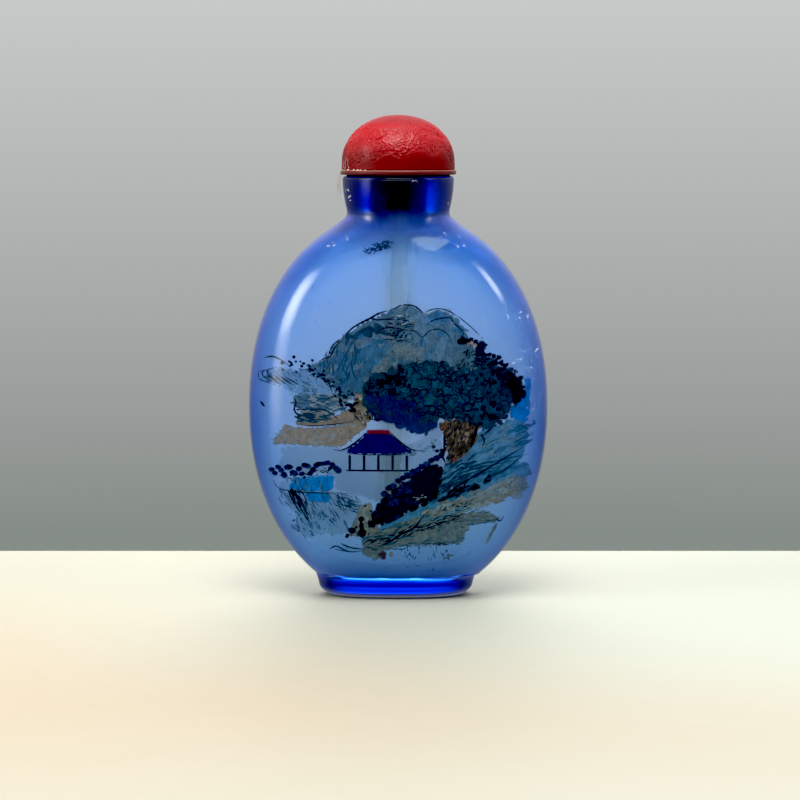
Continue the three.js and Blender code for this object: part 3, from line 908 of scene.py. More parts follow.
def paintNearBank(brush):
    # the worn grey bank across the bottom
    upper = [(3.0, 14.0), (6.6, 16.2), (10.0, 17.2), (13.4, 18.4), (17.0, 20.1), (19.6, 20.2),
        (20.3, 18.4), (19.6, 16.6)]
    upper += [(17.4, 16.5), (15.4, 15.9), (13.8, 15.2), (10.6, 14.6), (6.0, 13.4)]
    lower = [(-5.6, 10.6), (0.0, 13.0), (6.0, 14.6), (11.6, 14.8), (14.4, 14.8), (15.6, 13.9),
        (16.8, 13.2), (15.6, 12.6)]
    lower += [(13.4, 12.6), (11.8, 12.4), (11.2, 11.0), (10.4, 9.6), (8.4, 9.0), (4.0, 9.1), (0.0, 8.6),
        (-3.6, 8.0), (-5.4, 8.4)]
    brush.fill("violetGrey", upper, 0.25)
    brush.fill("olive", lower, 0.2)
    brush.coat()
    hatch(brush, "olive", upper, 60, 2.2, 0.35, 18, 0.3)
    hatch(brush, "hillGrey", lower, 44, 2.6, 0.3, 14, 0.3)
    hatch(brush, "paleGrey", lower, 30, 1.8, 0.4, 10, 0.5)
    dab(brush, "tan", [(12.0, 15.4), (15.6, 17.2), (18.4, 18.4), (18.0, 16.8), (13.4, 15.2)], 8, 0.5)
    brush.coat()
    hatch(brush, "bankPale", [(3.6, 13.8), (8.0, 14.6), (11.8, 16.0), (11.8, 15.2), (8.0, 13.9),
        (3.8, 13.2)], 44, 2.0, 0.22, 16, 0.2)
    hatch(brush, "paleGrey", [(2.0, 12.2), (10.8, 14.4), (11.6, 13.2), (3.0, 10.8)], 40, 1.0, 0.2, 30, 0.9)
    hatch(brush, "darkTeal", lower, 46, 1.8, 0.16, 16, 0.35)
    brush.coat()
    hatch(brush, "ink", [(-5.2, 10.2), (2.6, 12.6), (9.4, 14.4), (9.8, 13.6), (2.0, 10.6),
        (-4.6, 8.8)], 60, 1.9, 0.2, 22, 0.35)
    hatch(brush, "ink", [(7.0, 15.6), (11.4, 16.6), (12.4, 15.4), (8.0, 14.8)], 18, 0.9, 0.2, 20, 0.6)
    brush.stroke("ink", [(-3.4, 8.9), (-1.4, 9.8), (0.2, 10.9), (2.6, 12.2), (4.0, 14.0),
        (5.4, 15.4)], 0.34)
    brush.stroke("ink", [(15.6, 13.4), (16.3, 13.0), (16.9, 13.8)], 0.2)
    brush.stroke("olive", [(15.8, 12.6), (14.8, 10.8), (14.0, 9.2)], 0.5)
    hatch(brush, "brown", [(6.6, 9.5), (9.6, 9.5), (9.4, 9.1), (6.8, 9.0)], 8, 1.2, 0.2, -6, 0.2)
    hatch(brush, "darkTeal", [(0.0, 8.8), (8.0, 9.0), (6.0, 6.8), (2.0, 6.8)], 26, 0.8, 0.14, 80, 0.5)
    dab(brush, "olive", [(6.6, 7.5), (8.8, 7.6), (8.6, 6.9), (7.4, 7.0)], 10, 0.25)
    dab(brush, "darkTeal", [(-3.0, 6.0), (12.0, 8.6), (8.0, 5.6), (2.0, 4.9)], 22, 0.11)


def paintLeftBank(brush):
    wash = [(-18.8, 19.4), (-14.6, 20.4), (-10.6, 20.6), (-10.8, 18.0), (-7.4, 17.6), (-5.6, 15.8),
        (-6.6, 12.8), (-8.6, 10.9)]
    wash += [(-12.4, 10.7), (-14.6, 10.0), (-16.6, 11.6), (-16.6, 13.6), (-18.2, 16.0)]
    brush.fill("veil", wash, 0.25)
    brush.fill("brightBlue", [(-16.6, 20.2), (-12.8, 20.8), (-10.4, 20.8), (-11.0, 18.1), (-14.0, 18.0),
        (-17.4, 18.2)], 0.12)
    brush.fill("brightBlue", [(-15.0, 17.9), (-11.4, 17.8), (-11.2, 16.4), (-14.0, 16.2)], 0.15)
    brush.coat()
    hatch(brush, "bankPale", wash, 16, 2.0, 0.3, -70, 0.35)
    hatch(brush, "hillBlue", wash, 26, 1.8, 0.5, -64, 0.4)
    hatch(brush, "teal", [(-16.8, 19.8), (-11.2, 20.2), (-11.4, 18.4),
        (-16.6, 18.3)], 22, 1.2, 0.14, 88, 0.25)
    brush.coat()
    brush.stroke("ink", [(-19.8, 19.6), (-19.0, 18.3), (-16.8, 17.9), (-13.0, 17.8), (-9.6, 17.9),
        (-7.4, 17.8)], 0.2)
    hatch(brush, "ink", [(-17.2, 17.6), (-15.6, 17.6), (-14.4, 13.6),
        (-15.2, 13.4)], 26, 3.2, 0.26, -62, 0.16)
    hatch(brush, "darkTeal", [(-18.6, 17.8), (-8.4, 17.6), (-9.6, 13.2),
        (-16.4, 14.4)], 56, 2.6, 0.13, -62, 0.3)
    hatch(brush, "darkTeal", [(-9.8, 17.8), (-5.8, 16.4), (-6.4, 14.6),
        (-9.6, 15.4)], 34, 1.8, 0.15, -24, 0.4)
    dab(brush, "darkTeal", [(-17.0, 14.4), (-9.6, 13.2), (-9.6, 11.2), (-15.8, 10.6)], 34, 0.16)
    brush.coat()
    for i in range(24):  # a row of bushes along the waterline
        x = -20.0 + 10.4 * i / 23
        z = 20.3 + 0.11 * (x + 20) + brush.luck.uniform(0, 1.7)
        brush.dot("night", x, z - 0.1, brush.luck.uniform(0.35, 0.6), 0.9)
        brush.dot("ink", x + brush.luck.uniform(-0.2, 0.2), z, brush.luck.uniform(0.26, 0.42), 0.9)
    hatch(brush, "ink", [(-17.6, 20.4), (-11.0, 22.2), (-10.6, 21.4),
        (-17.0, 19.9)], 22, 1.0, 0.24, 10, 0.4)
    brush.dot("ink", -21.2, 31.9, 0.5, 0.35, -1.1)


def paintRocks(brush):
    rock = [(-8.0, 10.8), (-7.0, 13.4), (-6.2, 15.8), (-4.0, 15.9), (-2.2, 14.0), (-3.0, 12.4),
        (-4.4, 11.0), (-6.0, 10.6)]
    brush.fill("olive", rock, 0.3)
    brush.coat()
    dab(brush, "tan", rock, 24, 0.26)
    hatch(brush, "paleGrey", rock, 20, 0.7, 0.16, 50, 1.0)
    brush.coat()
    dab(brush, "ink", rock, 20, 0.24)
    for x, z, r in ((-6.0, 13.6, 0.55), (-7.5, 11.7, 0.6), (-5.9, 11.3, 0.85), (-4.3, 12.8, 0.7),
        (-8.2, 10.8, 0.4)):
        brush.dot("ink", x, z, r, 0.9, 0.8, 0.2)
    brush.fill("ink", [(-6.3, 11.2), (-6.4, 13.2), (-5.5, 13.0), (-5.3, 11.0)], 0.2)


def paintRidge(brush):
    # the black path with its row of round bushes, rising to the tree
    path = [(-4.6, 13.4), (-3.4, 16.2), (-1.4, 18.2), (1.2, 20.2), (3.4, 21.8), (5.8, 22.8),
        (7.2, 22.4), (7.3, 20.2)]
    path += [(6.5, 17.8), (5.6, 16.4), (2.6, 15.0), (0.0, 13.8), (-2.2, 12.6)]
    brush.fill("ink", path, 0.3)
    brush.coat()
    hatch(brush, "night", path, 16, 1.6, 0.3, 30, 0.4)
    dab(brush, "night", [(-1.8, 17.0), (0.8, 19.2), (2.0, 18.4), (0.0, 15.8)], 12, 0.4)
    brush.coat()
    hatch(brush, "violetGrey", [(1.4, 17.2), (3.6, 17.6), (5.0, 17.8), (3.8, 16.8)], 9, 0.7, 0.14, 5, 0.3)
    for i in range(13):
        t = i / 12
        x, z = -2.2 + 9.2 * t, 17.9 + 6.2 * t**0.85
        brush.dot("night", x - 0.2, z + 0.1 + brush.luck.uniform(-0.2, 0.2), 0.5, 0.9)
        brush.dot("ink", x, z + brush.luck.uniform(-0.2, 0.3), brush.luck.uniform(0.42, 0.62), 0.95, 0, 0.08)
    for x, z in ((6.3, 24.9), (7.0, 25.0), (5.7, 25.6), (6.8, 24.2)):
        brush.dot("ink", x, z, 0.36, 0.8)


def paintTree(brush):
    crown = [(-6.0, 33.0), (-5.3, 35.6), (-3.6, 37.2), (-0.6, 38.8), (2.6, 39.6), (6.4, 39.6),
        (9.6, 38.8), (11.8, 39.6)]
    crown += [(14.3, 40.4), (16.6, 38.6), (18.2, 37.4), (19.8, 36.0), (20.1, 33.2), (18.2, 31.8),
        (16.6, 29.4), (14.6, 28.2)]
    crown += [(12.4, 28.4), (9.4, 29.6), (6.4, 29.8), (3.4, 29.4), (-1.0, 30.2), (-4.2, 30.6)]
    brush.fill("darkTeal", crown, 0.4)
    brush.fill("night", [(-5.4, 33.6), (0.0, 33.4), (5.6, 32.6), (6.6, 29.6), (4.4, 27.4), (0.0, 28.8),
        (-4.2, 30.4)], 0.35)
    rocks = [(9.0, 38.2), (10.0, 41.0), (12.0, 41.6), (13.2, 40.0), (12.6, 38.2), (10.6, 37.6)]
    brush.fill("hillGrey", rocks, 0.35)
    brush.coat()
    dab(brush, "ink", [(-5.4, 34.4), (-3.8, 36.6), (0.6, 38.0), (1.6, 35.4), (-1.6, 33.8)], 46, 0.6)
    dab(brush, "ink", [(13.0, 38.6), (18.4, 36.8), (19.8, 34.4), (17.4, 31.4), (13.2, 29.0),
        (12.4, 33.0)], 50, 0.5)
    brush.coat()
    cells = [(0.0, 37.6), (4.6, 38.6), (11.6, 37.6), (13.4, 34.0), (10.4, 30.6), (4.0, 30.6), (1.0, 33.4)]
    dab(brush, "teal", cells, 90, 0.7, 0.85)
    dab(brush, "darkTeal", crown, 90, 0.7, 0.85)
    dab(brush, "night", [(-4.4, 33.4), (1.0, 33.0), (4.0, 29.4), (-3.0, 30.6)], 30, 0.8)
    brush.coat()
    rings(brush, "ink", cells, 70, 0.82, 0.17)
    rings(brush, "ink", crown, 60, 0.7, 0.15)
    dab(brush, "ink", crown, 34, 0.3)
    hatch(brush, "ink", [(11.0, 37.0), (19.0, 36.0), (18.0, 30.6), (13.0, 29.6)], 60, 1.0, 0.16, 55, 0.9)
    brush.coat()
    dab(brush, "night", [(-2.0, 34.0), (4.0, 35.0), (12.0, 33.0), (8.0, 30.6), (0.0, 31.6)], 22, 0.4)
    hatch(brush, "ink", [(9.0, 37.6), (10.6, 41.2), (13.2, 40.4), (12.8, 37.8)], 34, 1.3, 0.15, 45, 0.8)
    # the dark boulder on the brow and the ragged right-hand edge
    brush.fill("ink", [(9.0, 41.8), (10.3, 43.6), (12.2, 43.2), (13.6, 42.6), (14.4, 40.8),
        (12.9, 39.4), (11.4, 41.4)], 0.4)
    brush.fill("ink", [(17.4, 36.2), (18.4, 37.0), (19.9, 36.2), (20.1, 33.4), (18.8, 32.0),
        (18.0, 33.4)], 0.3)
    dab(brush, "ink", [(13.6, 40.6), (15.6, 40.4), (19.4, 36.8), (18.4, 35.6), (14.6, 38.4)], 46, 0.36)
    brush.coat()
    dab(brush, "tan", [(10.4, 42.6), (12.6, 42.2), (13.0, 41.0), (11.4, 41.6)], 6, 0.28)


def paintTrunk(brush):
    trunk = [(6.6, 29.4), (8.4, 30.0), (10.8, 29.8), (12.8, 29.2), (13.0, 27.6), (12.0, 25.6),
        (10.8, 24.4), (9.4, 23.4)]
    trunk += [(7.9, 22.6), (7.4, 24.6), (7.3, 27.0)]
    brush.fill("brown", trunk, 0.25)
    brush.coat()
    hatch(brush, "ochre", trunk, 44, 1.4, 0.34, 62, 0.6)
    hatch(brush, "tan", [(9.6, 28.0), (11.2, 28.6), (11.6, 26.6), (10.0, 25.6)], 12, 0.9, 0.26, 60, 0.6)
    hatch(brush, "rust", [(6.8, 29.4), (8.6, 29.6), (8.4, 28.4), (7.4, 28.0)], 14, 0.9, 0.3, -20, 0.5)
    hatch(brush, "rust", [(8.4, 23.6), (10.6, 24.2), (10.2, 23.4), (8.6, 22.9)], 10, 0.8, 0.24, 20, 0.4)
    brush.coat()
    hatch(brush, "ink", trunk, 60, 1.2, 0.18, 66, 0.7)
    hatch(brush, "cream", trunk, 5, 0.6, 0.12, 60, 0.8)
    brush.stroke("ink", [(7.4, 27.6), (7.5, 25.4), (7.2, 24.0), (7.9, 22.4)], 0.55)
    brush.stroke("ink", [(12.7, 29.0), (12.2, 27.2), (11.6, 25.8)], 0.5)
    brush.stroke("ink", [(13.2, 27.6), (13.8, 26.4), (13.4, 25.4)], 0.3)


pavilion = {
    "centre": -3.2,
    "eaves": 24.3,
    "rise": 3.7,
    "ridge": 1.9,
    "span": 7.4,
    "lift": 0.9,  # how far the corners of the roof turn up
    "postSpan": 4.6,
    "posts": 5,
    "deck": 21.7,
}


def paintPavilion(brush):
    # an open hall with a hipped roof, even posts and a deck
    hall = pavilion
    middle, low = hall["centre"], hall["eaves"]
    left, right = [], []
    for t in spread(0, 1, 9):
        reach = hall["ridge"] + (hall["span"] - hall["ridge"]) * t
        z = low + (hall["rise"] * (1 - t) ** 1.6 + hall["lift"] * t**4)
        left.append((middle - reach, z))
        right.append((middle + reach, z))
    eaves = [(middle + hall["span"] * u, low + hall["lift"] * u**4) for u in (0.7, 0.35, 0, -0.35, -0.7)]
    brush.fill("navy", list(reversed(left)) + right + eaves, 0.06)
    brush.coat()
    brush.stroke("ink", left, 0.3)
    brush.stroke("ink", right, 0.3)
    brush.stroke("ink", eaves, 0.2)
    brush.stroke("red", [left[0], (middle, low + hall["rise"] + 0.1), right[0]], 0.7, (0.05, 0.05), 0.1)
    brush.coat()
    for i in range(hall["posts"]):
        x = middle + hall["postSpan"] * (2 * i / (hall["posts"] - 1) - 1)
        brush.stroke("ink", [(x, low), (x, hall["deck"])], 0.42, (0.05, 0.12), 0.06)
    deck = [(middle + hall["postSpan"] * u * 1.15, hall["deck"]) for u in (-1, 0, 1)]
    brush.stroke("ink", deck, 0.3, (0.1, 0.1), 0.08)


def paintForeground(brush):
    # loose marks near the foot and below the neck
    brush.fill("olive", [(-6.2, 9.4), (-3.4, 8.6), (-1.8, 8.2), (-2.4, 6.9), (-4.6, 6.8), (-6.0, 7.8)], 0.4)
    brush.coat()
    brush.stroke("ink", [(-11.0, 8.5), (-10.0, 9.1), (-8.6, 8.5), (-7.2, 8.1)], 0.26)
    brush.stroke("ink", [(-9.3, 9.6), (-7.6, 8.9), (-5.0, 8.6)], 0.24)
    brush.stroke("darkTeal", [(-10.2, 8.6), (-7.6, 8.2), (-5.6, 8.4)], 0.2)
    hatch(brush, "paleGrey", [(-8.6, 9.4), (-4.2, 9.8), (-3.6, 8.2), (-7.0, 8.4)], 16, 0.9, 0.2, -10, 0.5)
    brush.fill("plum", [(-3.5, 8.0), (-2.8, 8.4), (-1.9, 8.0), (-2.1, 7.1), (-3.1, 6.9)], 0.2)
    brush.fill("tan", [(-1.6, 8.2), (-0.9, 8.2), (-0.8, 7.3), (-1.6, 7.3)], 0.25)
    spray = [(-5.4, 56.6), (-3.4, 57.8), (-0.8, 58.2), (-1.6, 57.2), (-3.8, 56.4)]
    hatch(brush, "darkTeal", spray, 40, 1.3, 0.16, -24, 0.5)
    hatch(brush, "night", spray, 22, 1.1, 0.14, 40, 0.6)


def paintFront():
    brush = Brush(-1, paint["seed"])
    steps = [paintWater, paintShore, paintHill, paintPoint, paintFarBank, paintNearBank, paintLeftBank]
    steps += [paintRocks, paintRidge, paintTree, paintTrunk, paintPavilion, paintForeground]
    for step in steps:
        step(brush)
        brush.coat()
    return brush


def paintBack():
    # plainer: distant hills, a bare shore and reeds
    brush = Brush(1, paint["seed"] + 1)
    far = [(-17.0, 30.0), (-12.0, 35.0), (-7.0, 38.6), (-2.0, 36.4), (3.0, 39.8), (8.0, 36.0),
        (15.0, 31.0), (6.0, 28.4), (-8.0, 28.0)]
    brush.fill("hillBlue", far, 0.3)
    brush.coat()
    hatch(brush, "hillGrey", far, 160, 2.2, 0.35, 50, 0.9)
    hatch(brush, "darkTeal", far, 110, 1.8, 0.16, 62, 0.6)
    brush.coat()
    brush.stroke("ink", [(-16.6, 30.6), (-12.0, 35.0), (-7.0, 38.7), (-2.2, 36.4), (3.0, 39.9),
        (8.2, 36.0), (14.8, 31.2)], 0.26)
    shore = [(-16.0, 13.0), (-9.0, 17.4), (2.0, 16.2), (12.0, 19.4), (17.6, 17.0), (12.0, 12.4),
        (2.0, 9.6), (-9.0, 9.8)]
    brush.fill("olive", shore, 0.3)
    brush.coat()
    hatch(brush, "tan", shore, 90, 2.4, 0.35, 8, 0.4)
    hatch(brush, "bankTeal", shore, 70, 2.4, 0.3, 4, 0.3)
    brush.coat()
    hatch(brush, "ink", shore, 60, 1.8, 0.2, 8, 0.4)
    reeds = [(-12.0, 14.0), (-7.0, 16.4), (-5.0, 15.2), (-10.0, 12.4)]
    for place in scatter(brush, reeds, 30):
        lean, tall = brush.luck.uniform(-1.6, 2.4), brush.luck.uniform(4, 9)
        stem = [place, place + Vector((lean * 0.3, tall * 0.6)), place + Vector((lean, tall))]
        brush.stroke("ink", stem, 0.24, (0.05, 0.8))
    for place in scatter(brush, [(3.0, 17.4), (11.0, 20.4), (15.0, 18.4), (6.0, 16.4)], 46):
        brush.dot("darkTeal", place.x, place.y + 0.6, brush.luck.uniform(0.4, 0.9), 0.9)
        brush.dot("ink", place.x + 0.1, place.y + 0.4, brush.luck.uniform(0.25, 0.5), 0.9)
    return brush


finishes = {name: pigmentFinish(name) for name in pigments}
paintFront().finish("front", finishes)
paintBack().finish("back", finishes)
print("walls painted")


chips = {
    "lift": 0.012,  # they stand on the polished surface
    "nicks": [(17.8, 46.3), (20.3, 46.3), (21.3, 46.7), (20.0, 39.7), (18.8, 39.1), (22.0, 38.1),
        (23.0, 41.0), (21.7, 31.3), (-13.7, 46.9)],
    "neckNicks": [(8.1, 65.4), (-8.2, 67.4), (-8.0, 65.8)],
}


def markGlass():
    brush = Brush(-1, paint["seed"] + 2, outsideAt, chips["lift"])
    for x, z in chips["nicks"] + chips["neckNicks"]:
        for i in range(3):
            px, pz = x + brush.luck.gauss(0, 0.3), z + brush.luck.gauss(0, 0.3)
            brush.dot("chip", px, pz, brush.luck.uniform(0.08, 0.2), 0.5, brush.luck.uniform(0, 3), 0.5)
    dust = [(-20.0, 44.0), (-12.0, 54.0), (0.0, 56.0), (12.0, 54.0), (21.0, 42.0), (22.0, 34.0),
        (12.0, 44.0), (-12.0, 44.0)]
    dab(brush, "chip", dust, 60, 0.07, 0.9, 0.5)
    dab(brush, "chip", [(19.0, 46.0), (21.6, 46.0), (24.0, 36.0), (23.6, 28.0),
        (21.4, 34.0)], 34, 0.1, 0.6, 0.5)
    for corners, count in (
        ([(6.0, 60.6), (9.6, 60.2), (12.4, 57.6), (9.6, 58.0)], 16),
        ([(-9.4, 60.2), (-7.6, 60.8), (-8.4, 59.0), (-12.0, 57.6)], 8),
    ):
        dab(brush, "chip", corners, count, 0.12, 0.6, 0.5)
    hatch(brush, "scratch", [(17.0, 48.0), (21.0, 46.0), (23.0, 38.0), (22.4, 30.0),
        (19.0, 36.0)], 12, 1.6, 0.06, 60, 1.0)
    hatch(brush, "scratch", [(-20.0, 45.0), (-14.0, 52.0), (-10.0, 50.0),
        (-17.0, 40.0)], 6, 1.4, 0.05, 50, 1.0)
    brush.stroke("scratch", [(-2.9, 69.0), (0.0, 68.95), (3.7, 69.0)], 0.04)
    # a painted highlight on the outside of the glass, below the neck on its right
    brush.fill("film", [(1.4, 59.4), (4.4, 60.0), (8.6, 59.3), (7.0, 57.8), (5.2, 57.2), (2.8, 58.4)], 0.1)
    dab(brush, "chip", [(1.8, 68.9), (3.4, 69.1), (3.6, 68.7), (2.0, 68.6)], 7, 0.09, 0.6, 0.5)
    dab(brush, "night", [(22.2, 29.4), (22.8, 29.8), (23.0, 28.9), (22.4, 28.6)], 5, 0.3)
    brush.finish("marks", finishes)


markGlass()
print("glass marked")


def turn(profile, around, shape=lambda x, y, z, r: (r, z)):
    # a closed skin turned about the upright axis; the profile starts and ends on it
    points = [(0, 0, profile[0][1])]
    for r, z in profile[1:-1]:
        for i in range(around):
            c, s = math.cos(2 * math.pi * i / around), math.sin(2 * math.pi * i / around)
            newR, newZ = shape(r * c, r * s, z, r)
            points.append((newR * c, newR * s, newZ))
    points.append((0, 0, profile[-1][1]))
    rows, last = len(profile) - 2, len(points) - 1
    faces = loftFaces(rows, around, 1)
    return points, faces + capFaces(0, 1, around, down=True) + capFaces(last, last - around, around)


stopper = {"base": neck["lip"] + 0.3, "gap": 0.02}
collar = {
    "radius": 9.65,
    "thick": 0.8,
    "edge": 0.3,
    "around": 420,
    "crust": (-9.2, -3.4),  # crumbs lie on the upper edge between these
    "lacquer": ((0.125, 0.01, 0.011), (0.075, 0.008, 0.008)),
    "endsBrown": (0.12, 0.085, 0.035),  # browner toward both ends, left and right
    # the coppery top edge: partly worn through, partly a painted highlight
    "worn": (0.36, 0.15, 0.1),
    "crumbs": (0.62, 0.48, 0.38),
}
cap = {
    "radius": 9.42,
    "band": 1.2,
    "height": 9.08,
    "power": 2.07,
    "crackle": 0.13,  # how deep the surface has crazed
    "crackleSize": 0.42,
    "crackleTop": 7.5,
    "crackleLow": 2.6,  # it stops here at the front, and comes lower at the sides
    "around": 480,
    "red": (0.33, 0.007, 0.011),
    # painted shade: darker red for the lower part of the dome
    "redShadedLow": (0.09, 0.0, 0.0),
    "redCloud": (0.24, 0.002, 0.003),
    "redTop": (0.22, 0.008, 0.012),
    # pale pink on the raised craze: partly dusty wear, partly painted highlight glints
    "dust": (0.6, 0.14, 0.14),
}


def capCraze(x, y, h):
    # how deep the crazed skin lies at a place, and how crazed it is
    wander = noise.noise(Vector((x, y, h)) * 0.45) * 2.4
    low = cap["crackleLow"] - 2.1 * smoothStep(abs(x - 1.5), 5.0, 8.6)
    over = smoothStep(h + wander * 0.6, cap["crackleTop"] - 1, cap["crackleTop"] + 0.6)
    mask = smoothStep(h + wander, low - 0.1, low + 0.7) * (1 - over)
    place = Vector((x, y, h)) / cap["crackleSize"]
    place += noise.noise_vector(place * 0.8) * 0.9
    ridge = clamp(1 - abs(noise.noise(place)) * 3.6)
    patch = 0.6 + 0.4 * smoothStep(noise.noise(Vector((x, y, h + 40)) * 0.5), -0.3, 0.2)
    return mask * patch * (1 - ridge), mask


groove = [(-4.8, 4.9), (-3.6, 5.0), (-2.6, 5.4), (-1.7, 6.05)]  # a long scratch on the front of the dome
scarPlace = (5.4, 6.1)


def scratchDepth(x, y, h):
    if y > 0:
        return 0.0
    place, gaps = Vector((x, h)), []
    for a, b in zip(groove, groove[1:]):
        footPoint, share = geometry.intersect_point_line(place, Vector(a), Vector(b))
        gaps.append((place - footPoint).length + max(0, abs(share - 0.5) - 0.5) * 9)
    dx, dz = x - scarPlace[0], h - scarPlace[1]
    scar = math.hypot((dx + dz * 0.9) / 1.3, (dz + dx * 0.35) / 0.4)
    return 0.14 * (1 - smoothStep(min(gaps), 0.05, 0.2)) + 0.1 * (1 - smoothStep(scar, 0.6, 1.1))


def buildCap():
    base = stopper["base"] + collar["thick"] + stopper["gap"]
    profile = [(0, 0), (cap["radius"] * 0.5, 0), (cap["radius"] - 0.12, 0), (cap["radius"] - 0.03, 0.04)]
    profile += [(cap["radius"], h) for h in spread(0.12, cap["band"], 16)]
    for angle in spread(0, math.pi / 2, 140)[1:]:
        power = 2 / cap["power"]
        r = cap["radius"] * max(math.cos(angle), 0) ** power
        profile.append((r, cap["band"] + (cap["height"] - cap["band"]) * math.sin(angle) ** power))
    profile = [p for p in profile[:-1] if p[0] > 0.02 or p[1] == 0] + [(0, cap["height"])]
    crazed = [0.0]

    def shape(x, y, h, r):
        if h <= 0.04:
            crazed.append(0.0)
            return r, h
        depth, mask = capCraze(x, y, h)
        crazed.append(mask * (1 - depth))
        slope = math.hypot(r, h) or 1
        inward = cap["crackle"] * depth + scratchDepth(x, y, h)
        inward += 0.03 * (noise.noise(Vector((x, y, h)) * 0.5) + 0.6) * smoothStep(h, 0, 1.5)
        return r - inward * r / slope, h - inward * h / slope

    points, faces = turn(profile, cap["around"], shape)
    crazed.append(0.0)
    finish = newFinish("red_wax", Specular_IOR_Level=0.24)
    dust, height = finish.attribute("crazed"), finish.axis("Z")
    # painted shade: the dome darkens toward its lower part
    low = 1 - (height - finish.noise(0.004) * 2 * mm).rampAt((base + 0.5, base + 4.5))
    cloudy = finish.noise(0.0025, detail=4)
    red = finish.mix(low * 0.75, cap["red"], cap["redShadedLow"])
    red = finish.mix(cloudy.ramp(0.4, 0.8) * 0.35, red, cap["redCloud"])
    red = finish.mix(height.rampAt((base + 6.8, base + 8.6)), red, cap["redTop"])
    # the raised craze turns paler pink, partly dust and partly a painted highlight
    finish.set(
        Base_Color=finish.mix(dust.ramp(0.55, 1) * cloudy.ramp(0.35, 0.6) * 0.16, red, cap["dust"]),
        Roughness=0.44 - dust * 0.24 + finish.noise(0.001, detail=2) * 0.1,
        Normal=finish.bump(finish.noise(0.0004, detail=2), 0.25, 0.00004),
    )
    points = [(x, y, z + base) for x, y, z in points]
    addPiece("cap_dome", points, faces, finish, "cap", ["stopper_cap"], crazed=crazed)


def buildCollar():
    radius, thick, edge = collar["radius"], collar["thick"], collar["edge"]
    profile = [(0, 0), (radius * 0.6, 0), (radius - edge - 0.3, 0)]
    profile += reversed(quarter(radius, edge, radius - edge, 0, 6))
    profile += quarter(radius, thick - edge, radius - edge, thick, 8)
    profile += [(radius - edge - 0.25, thick), (radius * 0.6, thick), (0, thick)]
    worn, crust = [0.0], [0.0]

    def shape(x, y, z, r):
        rough = noise.noise(Vector((x, y, z)) * 1.4) + noise.noise(Vector((x, y, z)) * 5) * 0.5
        onTop = smoothStep(z, thick - edge * 0.45, thick) * smoothStep(r, radius - edge - 0.3, radius - edge)
        start, stop = collar["crust"]
        left = smoothStep(x, start - 0.4, start) * (1 - smoothStep(x, stop - 1, stop))
        bits = onTop * left * (y < 0) * smoothStep(noise.noise(Vector((x, y, 9.0)) * 2.6), -0.1, 0.25)
        worn.append(onTop)
        crust.append(bits)
        return r - (rough + 0.6) * 0.035 * smoothStep(r, radius - edge - 0.2, radius), z + bits * 0.16

    points, faces = turn(profile, collar["around"], shape)
    finish = newFinish("lacquered_disc", Specular_IOR_Level=0.4)
    grain = finish.noise(0.0012, detail=4)
    side = finish.axis("X")
    ends = (side * side).ramp((8.4 * mm) ** 2, (9.6 * mm) ** 2)
    colour = finish.mix(grain * 0.5, *collar["lacquer"])
    colour = finish.mix(ends * 0.8, colour, collar["endsBrown"])
    # the top edge turns coppery, partly from wear and partly as a painted highlight
    colour = finish.mix(finish.attribute("worn") * (0.6 + grain * 0.4), colour, collar["worn"])
    finish.set(
        Base_Color=finish.mix(finish.attribute("crust"), colour, collar["crumbs"]),
        Roughness=0.42 + grain * 0.2,
        Normal=finish.bump(grain, 0.3, 0.00005),
    )
    points = [(x, y, z + stopper["base"]) for x, y, z in points]
    worn.append(0.0)
    crust.append(0.0)
    addPiece("collar_disc", points, faces, finish, "collar", ["stopper_collar"], worn=worn, crust=crust)


plug = {
    "top": 2.4,
    "tip": 2.0,
    "length": 5.4,
    "edge": 0.3,
    "socket": 1.1,
    "socketDepth": 3.0,
    "wornFrom": 1.5,
    "around": 72,
    "cork": ((0.006, 0.005, 0.005), (0.03, 0.022, 0.018)),
}
lining = {"inner": 3.0, "outer": 8.5, "gap": 0.03, "around": 160}


def buildPlug():
    top, length = stopper["base"] - stopper["gap"], plug["length"]
    tip, edge, ceiling = plug["tip"], plug["edge"], plug["socketDepth"] - length
    profile = [(0, ceiling), (plug["socket"], ceiling), (plug["socket"], -length)]
    profile += reversed(quarter(tip, edge - length, tip - edge, -length, 6))
    for t in spread(0, 1, 20)[1:]:
        profile.append((tip + (plug["top"] - tip) * t, -length + edge + (length - 0.35) * t))
    profile += [(0, 0)]

    def worn(x, y, z, r):
        return r - 0.05 * (noise.noise(Vector((x, y, z))) + 0.5) * (r > plug["wornFrom"]), z

    points, faces = turn(profile, plug["around"], worn)
    finish = newFinish("dark_cork", Specular_IOR_Level=0.3)
    grain = finish.noise(0.0009, detail=5, stretch=(1, 1, 0.4))
    finish.set(
        Base_Color=finish.mix(grain.ramp(0.35, 0.75), *plug["cork"]),
        Roughness=0.7 + grain * 0.2,
        Normal=finish.bump(grain, 0.5, 0.0001),
    )
    addPiece("plug_stem", [(x, y, z + top) for x, y, z in points], faces, finish, "plug", ["stopper_plug"])
    low, high = neck["lip"] + lining["gap"], stopper["base"] - lining["gap"]
    inner, outer, around, points = lining["inner"], lining["outer"], lining["around"], []
    ring = [(inner, low), (outer, low), (outer + 0.05, (low + high) / 2), (outer, high), (inner, high)]
    for r, z in ring:
        for i in range(around):
            a = 2 * math.pi * i / around
            ragged = 0.25 * noise.noise(Vector((math.cos(a) * 9, math.sin(a) * 9, 5))) * (r > 5)
            points.append(((r + ragged) * math.cos(a), (r + ragged) * math.sin(a), z))
    faces = loftFaces(len(ring), around)
    last = (len(ring) - 1) * around
    faces += [(last + i, last + (i + 1) % around, (i + 1) % around, i) for i in range(around)]
    addPiece("plug_lining", points, faces, finish, "plug")


